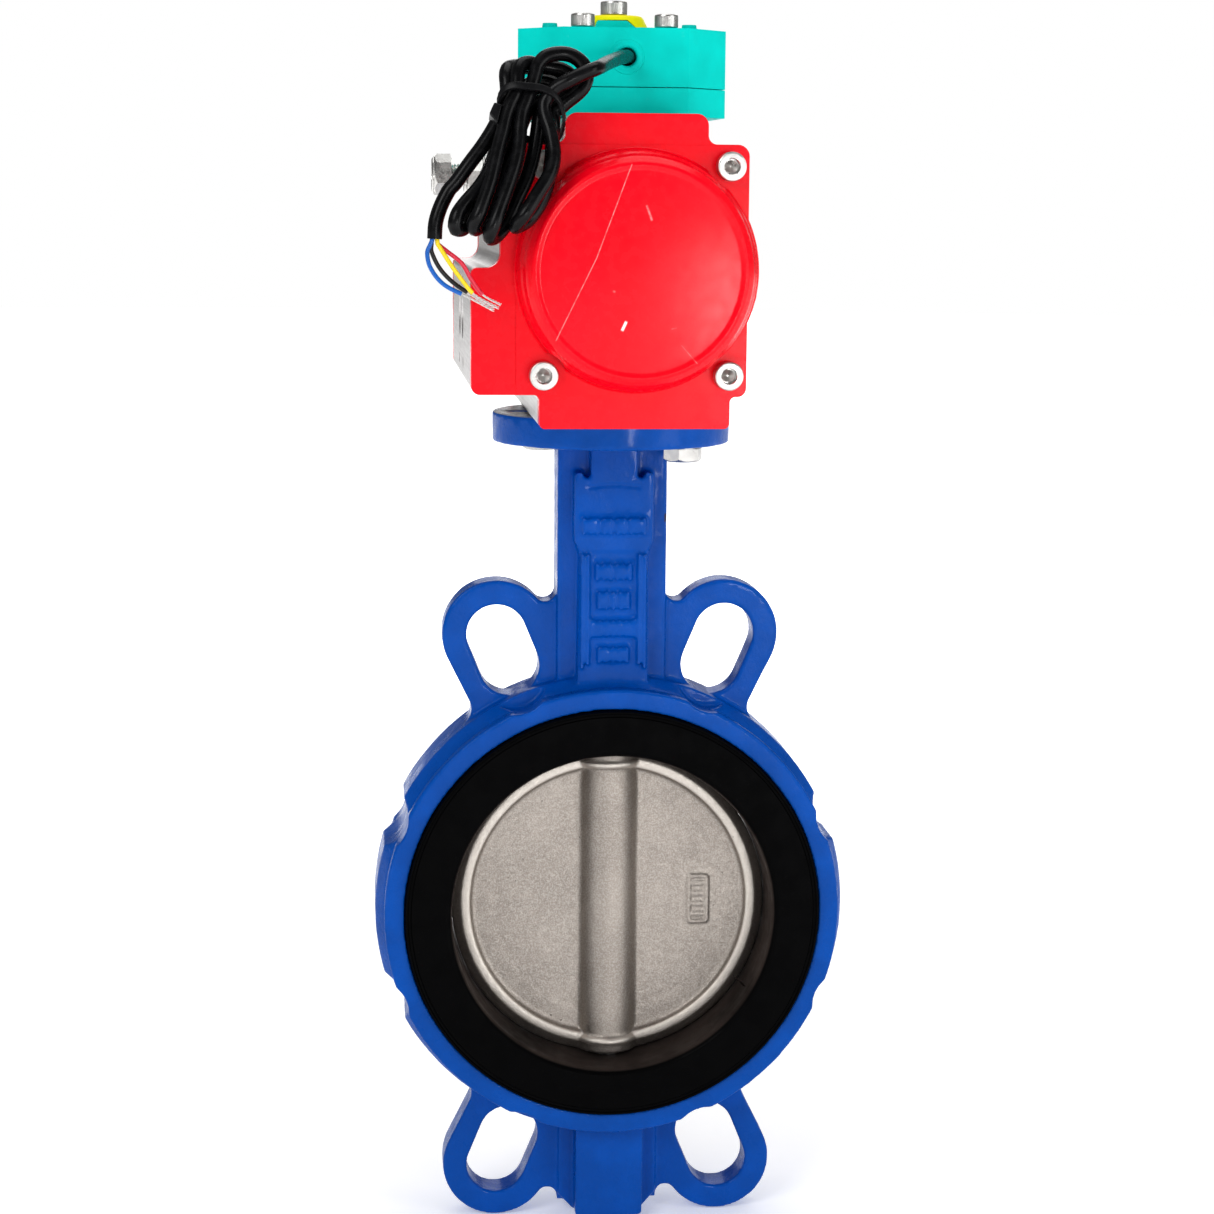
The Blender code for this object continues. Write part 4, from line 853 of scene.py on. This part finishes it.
def make_valve_body():
    half = [(86.6, 26.0), (87.3, 25.3), (87.3, 19.9), (86.5, 19.3), (86.5, 18.4), (87.4, 17.9), (90.5, 12.4)]
    half.append((RIB_R + 0.1, 11.8))
    inside = [(SEAT_RECESS_R, FACE), (SEAT_RECESS_R, 21.0), (70.0, 21.0)]
    profile = half + back(half) + [(r, -y) for r, y in inside] + inside[::-1]
    notches = []
    for turn in range(8):
        place = math.radians(22.5 + 45 * turn)
        spot = (98.4 * math.cos(place), 0, 98.4 * math.sin(place))
        spans = [(-30, 30)] if turn in (0, 3, 4, 7) else [(-30, -12.4), (12.4, 30)]
        notches += [cylinder(f"rim_notch_{turn}_{low}", spot, "Y", 12.9, low, high, 64) for low, high in spans]
    ring = lathe("valve_body_casting", profile, 192, closed=True, axis="Y")
    ring = combine(ring, cuts=notches)
    upper = [(13.2, 139, 0.8), (15.0, 143, 1.5), (15.0, 168.6, 1.4), (11.6, 168.6, 0.6), (11.6, 166.6, 1.2)]
    upper += [(8.8, 166.6, 1.2), (8.8, 180.4, 0)]
    joins = [
        lug_plate("upper_lugs", (25.3, 122.75), 4.5, 20.8, 130.0, 1),
        lug_plate("lower_lugs", (23.5, 120.0), 4.0, 19.5, 121.0, -1),
    ]
    for name, outline, reach in (
        ("neck_plate", [(20.8, 83.5, 0), (20.8, 180.7, 0)], 10),
        ("column", [(13.5, 84, 0), (12.9, 137, 0), (13.8, 139.5, 1), (13.8, 150, 0)], 16.0),
        ("column_top", upper, 16.6),
        ("lower_boss", [(13.1, -84, 0), (13.1, -124.5, 1.5)], 17.5),
        ("lower_web", [(19.2, -84, 0), (19.2, -118, 1), (13.5, -124.5, 1)], 9),
    ):
        joins.append(prism(name, [mirrored(outline)], "Y", -reach, reach))
    joins.append(pole("top_flange", 45, FLANGE_LOW, FLANGE_TOP, 160))
    cuts = [
        cylinder("pipe_bore", (0, 0, 0), "Y", 70.05, -25.9, 25.9, 192),
        pole("stem_bore", 11.1, 50, 200, 64),
        pole("ring_groove", 12.4, 188.3, 190.1, 64),
        pole("stub_bore", 10.1, -130, -50, 64),
    ]
    for index, (x, y) in enumerate(arc((0, 0), 35.0, 0, 315, 7)):
        cuts.append(cylinder(f"flange_hole_{index}", (x, y, 0), "Z", 4.5, 176, 194, 32))
    for side, _ in SIDES:
        low, high = span(side, 16.05, 18.0)
        line = arc((0, 104.6), 60.0, 80, 100, 16) + arc((0, 119.0), 44.4, 103.2, 76.8, 16)
        cuts.append(prism(f"arc_groove_{side}", [line], "Y", low, high))
        cuts.append(box(f"fine_groove_{side}", (-14.2, low, 159.2), (13.5, high, 159.8)))
    body = combine(ring, joins=joins, cuts=cuts)
    body = merged("valve_body_casting", [body] + neck_relief())
    give(cast(body, 0.72, 2, 0.22, 7.0, 0.31), BLUE, "valve_body")


make_valve_body()


# -------------------------------------------------------- seat and disc


def make_seat_liner():
    half = [(79.4, 21.4), (79.4, 27.3), (79.0, 27.9), (78.5, 28.0), (78.1, 27.5), (77.3, 27.4), (76.9, 27.85)]
    half += [(70.0, 28.0), (64.0, 28.0), (63.2, 27.8), (62.3, 27.1), (61.7, 26.0), (61.5, 24.5), (61.5, 12.0)]
    loop = half + [(61.5, 0.0)] + back(half) + [(69.7, -21.3), (69.7, 21.3)]
    liner = lathe("seat_rubber", loop, 192, closed=True, axis="Y")
    cuts = [pole("liner_stem_hole", 9.4, 50, 80), pole("liner_stub_hole", 8.4, -80, -50)]
    liner = smooth(combine(liner, cuts=cuts), 40)
    flake = skin(
        "seat_torn_flake",
        [
            [(52.0, -17.2, -32.2), (52.5, -18.6, -31.6), (52.7, -18.2, -32.0)],
            [(50.6, -17.6, -30.4), (51.0, -20.4, -29.2), (51.6, -19.6, -30.0)],
            [(48.8, -18.6, -28.6), (49.2, -20.2, -28.0), (49.6, -19.6, -28.4)],
            [(47.4, -19.2, -26.8), (47.5, -19.5, -26.7), (47.6, -19.4, -26.8)],
        ],
    )
    flake.data.shade_smooth()
    give(liner, RUBBER, "seat_liner")
    give(flake, RUBBER, "seat_liner")


def make_disc():
    face = [(61.1, 3.9), (60.9, 4.5), (57.6, 6.4), (57.0, 6.6), (54.6, 6.6), (54.0, 6.2), (53.2, 4.6)]
    face += [(52.4, 4.1), (46.0, 4.0), (44.6, 3.85), (30.0, 3.85), (1.0, 3.95)]
    disc = lathe("disc_casting", face[::-1] + [(r, -y) for r, y in face], 160, axis="Y")
    hub_r, fillet = 11.3, 4.2
    height = 3.5 + fillet
    start = math.sqrt((hub_r + fillet) ** 2 - height**2)
    lean = math.degrees(math.atan2(height, start))
    quarter = [(start, 3.0)] + arc((start, height), fillet, 270, 180 + lean, 10)
    half = quarter + arc((0, 0), hub_r, lean, 180 - lean, 30) + [(-x, y) for x, y in reversed(quarter)]
    joins = [prism("disc_hub", [half + [(-x, -y) for x, y in half]], "Z", -58.0, 58.0)]
    collar = [(9.0, 51.0), (10.9, 52.6), (11.8, 53.6), (12.9, 54.6), (13.0, 55.8), (12.2, 56.8), (11.9, 60.2)]
    for side in (-1, 1):
        joins.append(lathe(f"disc_collar_{side}", [(r, side * z) for r, z in collar], 64))
    ball = lathe("disc_ball", [(61.0, -20), (61.0, 20)], 160, axis="Y")
    square = prism("disc_socket", [panel(-7.3, -7.3, 7.3, 7.3, 0)], "Z", 25.5, 65)
    square = combine(square, keeps=[pole("socket_round", 9.3, 25.5, 65, 40)])
    cuts = [pole("disc_stub_socket", 8.3, -65, -29.5, 40), square]
    disc = combine(disc, joins=joins, cuts=cuts, keeps=[ball])
    rim = [panel(31.4, -9.8, 39.4, 9.3, 1.6), panel(32.2, -9.0, 38.6, 8.5, 1.0)]
    plate = [prism("plate_rim", rim, "Y", -4.55, -3.5)]
    for index in range(4):
        z = -6.4 + 4.1 * index
        plate.append(prism(f"plate_bar_{index}", [panel(33.4, z - 0.7, 37.4, z + 0.7, 0.5)], "Y", -4.4, -3.5))
    disc = merged("disc_casting", [disc] + plate)
    give(cast(disc, 0.58, 2, 0.1, 2.2, 0.75), CAST, "disc", body="drive")


make_seat_liner()
make_disc()


# --------------------------------------------------------------- fasteners


def thread(pitch, depth):
    """A radius rule that cuts a screw thread."""

    def radius_at(radius, turn, height):
        wave = abs(2 * ((height / pitch - turn / (2 * math.pi)) % 1) - 1)
        return radius - depth * min(1.0, max(0.0, 1.25 * wave - 0.12))

    return radius_at


def shank(name, radius, low, high, pitch, depth, sides=28):
    count = round((high - low) / pitch * 6)
    profile = [(radius * 0.82, low)]
    profile += [(radius, low + 0.5 + (high - low - 1.0) * step / count) for step in range(count + 1)]
    profile.append((radius * 0.82, high))
    return lathe(name, profile, sides, radius_at=thread(pitch, depth))


def hex_head(name, across, low, high, both_ends):
    """A hexagon whose corners are turned off at its low end or at both ends."""
    head = prism(name, [hexagon(across)], "Z", low, high)
    turned, rim, slope = across * 0.465, across * 0.6, across * 0.102
    profile = [(turned, low - 0.01), (rim, low + slope + 0.01)]
    if both_ends:
        profile += [(rim, high - slope - 0.01), (turned, high + 0.01)]
    else:
        profile += [(rim, high - 0.01), (rim, high + 0.01)]
    return combine(head, keeps=[lathe(name + "_turning", profile, 64)])


def place_copies(obj, places, body="housing"):
    """Puts a copy of a mesh at each (name, place, rotation, replaced node)."""
    for name, place, rotation, node in places:
        mesh = obj.data.copy()
        mesh.transform(Matrix.Translation(Vector(place) * MM) @ rotation)
        give(smooth(add_object(name, mesh), 32), STEEL, node, body=body)
    drop(obj)


def hex_bolt(name, across, head, radius, length):
    """A hexagon bolt along Z, its head below 0 and its threaded shank above."""
    top = hex_head(name + "_head", across, -head, -0.4, False)
    washer = pole(name + "_face", across / 2 * 0.95, -0.5, 0.0)
    dish = pole(name + "_dish", across * 0.3, -head - 1, -head + 0.25, top_radius=across * 0.27)
    top = combine(top, joins=[washer], cuts=[dish])
    return merged(name, [top, shank(name + "_shank", radius, -1.0, length, 1.25, 0.62)])


def socket_screw(name, head_r, head, radius, length, key):
    """A socket head screw along Z, its knurled head above 0 and its shank below."""

    def knurl(reach, turn, height):
        if 0.9 < height < head - 1.1 and reach > head_r * 0.97:
            return reach - 0.05 * (0.5 + 0.5 * math.cos(turn * 36))
        return reach

    profile = [(head_r * 0.9, 0.0), (head_r, 0.4), (head_r, 0.8), (head_r, 1.1), (head_r, head - 1.2)]
    profile += [(head_r, head - 0.9), (head_r, head - 0.7), (head_r * 0.97, head - 0.3), (head_r * 0.86, head)]
    top = lathe(name + "_head", profile, 144, radius_at=knurl)
    recess = prism(name + "_key", [hexagon(key)], "Z", head * 0.42, head + 1)
    lead = pole(name + "_lead", key * 0.5, head - 0.35, head + 0.35, top_radius=key * 0.5 + 0.75)
    pit = pole(name + "_pit", 0.3, head * 0.2, head * 0.43, 24, key * 0.46)
    top = combine(top, cuts=[recess, lead, pit])
    return merged(name, [top, shank(name + "_shank", radius, -length, 0.6, 0.9, 0.4)])


def make_fasteners():
    reach = 35.0 * math.cos(math.radians(45))
    seat = FLANGE_LOW - 0.3
    flange_bolts = [
        ("flange_hex_front", (reach, -reach, seat), spin(12, "Z"), "flange_bolt_front"),
        ("flange_hex_rear", (-reach, reach, seat), spin(-8, "Z"), "flange_bolt_rear"),
    ]
    place_copies(hex_bolt("flange_hex", 13.0, 5.3, 3.9, 24.0), flange_bolts)
    caps = []
    for side, label in SIDES:
        for number, (x, z) in enumerate(CAP_SCREWS, 1):
            turned = spin(-90 * side, "X") @ spin(17 * number, "Z")
            place = (x, side * (CAP_FACE + 0.3), z)
            caps.append((f"socket_screw_{label}_{number}", place, turned, f"cap_screw_{label}_{number}"))
    place_copies(socket_screw("socket_screw", 5.0, 6.0, 2.8, 23.0, 5.0), caps)
    box_screws = [
        (f"box_screw_{number}", (x, y, BOX_TOP + 0.3), spin(23 * number, "Z"), f"sensor_screw_{number}")
        for number, (x, y) in enumerate(BOX_SCREWS, 1)
    ]
    place_copies(socket_screw("box_screw", 4.25, 4.8, 2.4, 41.5, 4.0), box_screws)
    puck = [("pointer_screw", (0, 0, 337.7), spin(8, "Z"), "puck_screw")]
    place_copies(socket_screw("pointer_screw", 5.0, 5.3, 2.8, 20.0, 5.0), puck, "drive")
    bolts, nuts = [], []
    for side, label in SIDES:
        y = side * STOP_Y
        turned = ONTO["X"] @ spin(4 * side, "Z")
        bolts.append((f"stop_hex_{label}", (-61.0, y, STOP_Z), turned, f"stop_bolt_{label}"))
        turned = ONTO["X"] @ spin(21, "Z")
        nuts.append((f"lock_nut_{label}", (ACT_LEFT - 2.3, y, STOP_Z), turned, f"stop_nut_{label}"))
    place_copies(hex_bolt("stop_hex", 13.0, 6.5, 3.9, 48.7), bolts)
    nut = hex_head("lock_nut", 13.0, -6.2, -0.3, True)
    nut = combine(nut, joins=[pole("nut_face", 6.1, -0.4, 0.0)], cuts=[pole("nut_bore", 4.2, -8, 1)])
    place_copies(nut, nuts)


make_fasteners()


# ---------------------------------------------------------------- actuator


def actuator_outline():
    """The housing's section, which both end caps share, as (X, Z) points."""
    swing = math.degrees(math.acos(39.0 / 42.9))
    corners = [(33.3, 191.0, 2), (33.3, 202.2, 2), (39.0, 202.2, 3)]
    corners += [(x, z, 0) for x, z in arc((0, ACT_Z), 42.9, -swing, swing, 24)]
    corners += [
        (39.0, 288.9, 4), (24.7, 288.9, 3), (24.7, 299.2, 4), (-24.7, 299.2, 4), (-24.7, 288.9, 3),
        (ACT_LEFT, 288.9, 3), (ACT_LEFT, 246.4, 5), (PAD_LEFT, 246.4, 2), (PAD_LEFT, 202.8, 3),
        (-33.3, 202.8, 2), (-33.3, 191.0, 2),
    ]
    return rounded(corners)


def port_thread(radius, turn, height):
    """Cuts a thread into the inside of a sleeve, and leaves its outside round."""
    return thread(1.34, -0.5)(radius - 0.5, turn, height) if radius < 6.4 else radius


def make_actuator_body():
    body = prism("actuator_housing", [actuator_outline()], "Y", -ACT_HALF, ACT_HALF)
    joins = []
    cuts = [
        cylinder("piston_bore", (0, 0, ACT_Z), "Y", 37.5, -80, 80, 96),
        pole("lower_pinion_hole", 15.6, 185, 215),
        pole("cam_pocket", 21.5, 262, 284),
        pole("upper_pinion_hole", 11.6, 280, 305),
        cylinder("air_channel", (0, -PORT_Y, PORT_Z), "X", 2.5, -46, -28, 24),
    ]
    for side, label in SIDES:
        for number, (x, z) in enumerate(CAP_SCREWS):
            low, high = span(side, 62.0, 80.0)
            cuts.append(cylinder(f"cap_thread_{label}_{number}", (x, 0, z), "Y", 3.2, low, high, 24))
        stop, port = (0, side * STOP_Y, STOP_Z), (0, side * PORT_Y, PORT_Z)
        joins.append(cylinder(f"stop_boss_{label}", stop, "X", 7.4, ACT_LEFT - 2.0, ACT_LEFT + 2.0))
        cuts.append(cylinder(f"stop_hole_{label}", stop, "X", 4.2, -52, -10, 24))
        cuts.append(cylinder(f"air_port_{label}", port, "X", 6.6, PAD_LEFT - 2, -44))
        lead = cylinder(f"port_lead_{label}", port, "X", 7.6, PAD_LEFT - 0.2, PAD_LEFT + 1.0, top_radius=6.6)
        cuts.append(lead)
        for z in (210.0, 242.0):
            pad = (0, side * 16, z)
            cuts.append(cylinder(f"pad_thread_{label}_{z}", pad, "X", 2.2, PAD_LEFT - 1, -48.5, 24))
    for number, (x, y) in enumerate(BOX_SCREWS):
        cuts.append(cylinder(f"top_hole_{number}", (x, y, 0), "Z", 2.7, 288, 302, 24))
        foot = (math.copysign(FOOT_HOLE, x), math.copysign(FOOT_HOLE, y), 0)
        cuts.append(cylinder(f"foot_hole_{number}", foot, "Z", 4.2, 188, 204.5, 24))
    body = soften(combine(body, joins=joins, cuts=cuts), 0.3)
    give(body, ALLOY, "actuator_body")
    sleeve = [(6.85, -56.0), (6.85, -46.2)] + [(6.3, -46.2 - 9.8 * step / 42) for step in range(43)]
    for number, (side, _) in enumerate(SIDES, 1):
        centre = (0, side * PORT_Y, PORT_Z)
        ring = lathe(f"port_thread_{number}", sleeve, 56, True, "X", centre, port_thread)
        give(smooth(ring, 60), ALLOY)


def make_cap(side, label):
    """An end cap: a plate with the housing's outline, a slightly proud middle block and a hollow dome."""
    low, high = span(side, ACT_HALF + 0.3, CAP_FACE - 0.8)
    plate = bevel(prism(f"{label}_cap_casting", [actuator_outline()], "Y", low, high), 1.1, 4)
    outline = [(38.9, 202.9, 2.6), (38.9, 229.0, 3), (42.0, 236.5, 8), (42.4, 245.6, 0), (42.0, 254.5, 8)]
    outline += [(38.9, 262.0, 3), (38.9, 288.6, 3.6), (-41.5, 288.6, 2.6), (-41.5, 202.9, 2.6)]
    low, high = span(side, CAP_FACE - 2.5, CAP_FACE)
    block = bevel(prism(f"{label}_block", [rounded(outline)], "Y", low, high), 0.55, 3)
    outer = [(30.0, 84.0), (42.3, 84.0), (42.3, 87.2), (41.9, 87.5), (41.6, 88.1), (41.4, 89.2), (40.9, 95.4)]
    outer += [(40.6, 96.4), (40.0, 97.2), (39.6, 98.2), (39.2, 100.2), (38.8, 101.2), (38.0, 101.9)]
    outer += [(37.5, 102.6), (37.1, 103.1), (36.6, 103.45), (36.0, 103.6), (35.4, 103.5), (34.7, 103.25)]
    outer += [(34.0, 103.2), (30.0, 103.4), (25.0, 103.56), (20.0, 103.7), (15.0, 103.82), (10.0, 103.91)]
    outer += [(5.0, 103.97), (1.0, 104.0)]
    inner = [(1.0, 100.6), (33.0, 100.0), (37.0, 95.6), (37.5, 90.0), (37.5, 76.0), (1.0, 76.0)]
    groove = [(41.5, 77.0), (41.5, 80.9), (38.9, 80.9), (38.9, 77.0)]

    def turned(name, profile, sides, closed=False):
        profile = [(radius, side * reach) for radius, reach in profile]
        return lathe(f"{label}_{name}", profile, sides, closed, "Y", (0, 0, ACT_Z))

    cuts = [turned("dome_hollow", inner, 96), turned("groove", groove, 96, True)]
    for number, (x, z) in enumerate(CAP_SCREWS):
        cuts.append(cylinder(f"seat_{number}", (x, 0, z), "Y", 7.6, *span(side, CAP_FACE + 0.02, 110.0), 64))
        cuts.append(cylinder(f"way_{number}", (x, 0, z), "Y", 3.2, *span(side, 75.0, 90.0), 32))
    cap = combine(plate, joins=[block, turned("dome", outer, 160)], cuts=cuts)
    give(smooth(cap, 38), RED, f"{label}_cap")


make_actuator_body()
for end in SIDES:
    make_cap(*end)


# -------------------------------------------------------------- sensor box


def octagon(half_x, half_y, corner, taper=0.0):
    """A box's outline with its corners cut off, narrower by taper on each side at the rear."""
    right = [(half_x - corner, -half_y), (half_x, corner - half_y)]
    right += [(half_x - taper, half_y - corner), (half_x - taper - corner, half_y)]
    return right + [(-x, y) for x, y in reversed(right)]


def screw_ways(name, low, high):
    return [
        cylinder(f"{name}_{number}", (x, y, 0), "Z", 2.8, low, high, 24)
        for number, (x, y) in enumerate(BOX_SCREWS)
    ]


def make_sensor_box():
    outline = octagon(37.7, 47.0, 15.3, 4.0)
    hollow = octagon(31.0, 33.0, 8.0)
    base = prism("sensor_housing_base", [outline], "Z", BOX_LOW, BOX_SPLIT - 0.3)
    cuts = screw_ways("base_hole", 297, 312)
    cuts.append(prism("base_hollow", [hollow], "Z", BOX_LOW + 3.5, BOX_SPLIT + 2))
    cuts.append(pole("base_shaft_way", 14.5, BOX_LOW - 2, BOX_SPLIT))
    give(soften(combine(base, cuts=cuts), 0.35, 3), TEAL, "sensor_base")
    cover = prism("sensor_housing_cover", [outline], "Z", BOX_SPLIT, BOX_TOP)
    joins = [
        cylinder(f"bump_{x}_{y}", (x, y, 0), "Z", 3.2, BOX_TOP - 1, BOX_TOP + 2.7, 32, 2.6)
        for x in (-25.5, 25.5)
        for y in (-22, 22)
    ]
    joins.append(cylinder("gland_boss", GLAND, "Y", 6.0, -47.5, -40.0, 48, 8.6))
    cuts = screw_ways("cover_hole", 307, 333)
    cuts.append(prism("cover_hollow", [hollow], "Z", BOX_SPLIT - 2, BOX_TOP - 3))
    cuts.append(pole("cover_shaft_way", 7.0, BOX_TOP - 8, BOX_TOP + 2))
    cuts.append(cylinder("gland_seat", GLAND, "Y", 5.25, -49, -41.2))
    cuts.append(cylinder("cable_way", GLAND, "Y", 3.2, -42, -30, 32))
    give(soften(combine(cover, joins=joins, cuts=cuts), 0.35, 3), TEAL, "sensor_cover")
    profile = [(5.3, -41.5), (5.3, -47.55), (4.7, -47.75), (4.2, -47.85), (3.7, -47.8), (3.3, -47.5)]
    profile += [(3.15, -46.9), (3.15, -41.5)]
    gland = lathe("gland_ring", profile, 64, closed=True, axis="Y", centre=GLAND)
    give(smooth(gland, 40), TEAL, "cable_gland")


def make_indicator():
    low = BOX_TOP + 0.3
    outer = [(13.2, low), (13.5, low + 0.3), (13.4, low + 0.9), (11.1, 336.3), (10.6, 337.0), (9.9, 337.4)]
    puck = lathe("indicator_dome", outer, 96)
    room = [(9.6, low - 1), (9.6, low), (4.0, 335.5), (-7.6, 335.5), (-9.6, low), (-9.6, low - 1)]
    cuts = [
        prism("pointer_room", [room], "Y", -16, -9.0),
        pole("puck_hole", 3.1, low - 2, 340),
    ]
    give(soften(combine(puck, cuts=cuts), 0.2, 2, 40), YELLOW, "indicator_puck", body="drive")
    flag = [(9.0, low), (3.6, 335.1), (-7.2, 335.1), (-9.0, low)]
    pointer = soften(prism("indicator_flag", [flag], "Y", -13.6, -9.3), 0.35, 3)
    give(pointer, TEAL, "indicator_pointer", body="drive")


make_sensor_box()
make_indicator()


# ------------------------------------------------------- carried-over nodes

CARRIED = {
    STEEL: ("upper_stem", "lower_stem", "stem_snap_ring", "bottom_plug", "pinion_circlip"),
    DULL_STEEL: ("pinion",),
    ACETAL: ("upper_bush", "middle_bush", "lower_bush", "thrust_washer", "sensor_shaft"),
    RUBBER: (
        "stem_o_ring_lower", "stem_o_ring_upper", "front_cap_o_ring", "rear_cap_o_ring",
        "front_piston_ring", "rear_piston_ring",
    ),
    ALLOY: ("front_piston", "rear_piston"),
    BRONZE: ("pinion_lower_bearing", "pinion_upper_bearing"),
    BOARD: ("sensor_switch",),
}
for look, names in CARRIED.items():
    for name in names:
        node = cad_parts[name]
        for slot in node.material_slots:
            slot.material = look


# -------------------------------------------------------- floor and lights


def make_stage():
    form = bmesh.new()
    bmesh.ops.create_circle(form, cap_ends=True, segments=96, radius=9.0)
    floor = made_from("floor", form)
    floor.location.z = CAD_BOX[0][2] - 0.0004
    look = Look("pale_floor", 0.7, specular=0.1)
    look.set("Base Color", (0.93, 0.93, 0.935, 1.0))
    look.set("Emission Color", (1.0, 1.0, 1.0, 1.0))
    far = look.node("ShaderNodeVectorMath", Vector=look.place)
    far.operation = "LENGTH"
    look.to("Emission Strength", look.range(far.outputs["Value"], 0.3, 1.3, 0.3, 1.0))
    floor.data.materials.append(look.made)
    floor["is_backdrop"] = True


def area_light(name, place, target, size, watts, height=None):
    data = bpy.data.lights.new(name, "AREA")
    data.energy = watts
    data.size = size
    if height:
        data.shape = "RECTANGLE"
        data.size_y = height
    light = add_object(name, data)
    light.location = place
    light.rotation_euler = (Vector(target) - Vector(place)).to_track_quat("-Z", "Y").to_euler()


def make_lights():
    area_light("key", (-1.3, -1.7, 1.35), (0, 0, 0.12), 1.1, 20)
    area_light("fill", (1.7, -1.3, 0.6), (0, 0, 0.12), 0.9, 12, 1.6)
    area_light("top", (0.1, 0.2, 2.0), (0, 0, 0.1), 1.6, 16)
    area_light("strip", (0.43, -1.8, 0.12), (0.03, -0.1, 0.24), 0.18, 3.5, 0.3)
    area_light("back", (0.4, 1.9, 1.0), (0, 0, 0.12), 1.4, 10)
    world = bpy.data.worlds.new("studio")
    world.use_nodes = True
    bpy.context.scene.world = world
    nodes, links = world.node_tree.nodes, world.node_tree.links
    plain = nodes["Background"]
    plain.inputs["Color"].default_value = (1.0, 1.0, 1.0, 1.0)
    # the camera sees plain white, and the object is lit by less of it
    rays = nodes.new("ShaderNodeLightPath")
    lit = nodes.new("ShaderNodeMapRange")
    lit.inputs["To Min"].default_value = 0.36
    lit.inputs["To Max"].default_value = 0.2
    links.new(rays.outputs["Is Glossy Ray"], lit.inputs["Value"])
    seen = nodes.new("ShaderNodeMapRange")
    seen.inputs["To Max"].default_value = 1.0
    links.new(rays.outputs["Is Camera Ray"], seen.inputs["Value"])
    links.new(lit.outputs["Result"], seen.inputs["To Min"])
    links.new(seen.outputs["Result"], plain.inputs["Strength"])
    bpy.context.scene.view_settings.view_transform = "Standard"
    bpy.context.scene.view_settings.gamma = 0.9


make_stage()
make_lights()

plain_box = lambda bounds: [list(corner) for corner in bounds]
{"cad": plain_box(CAD_BOX), "visual": plain_box(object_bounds())}
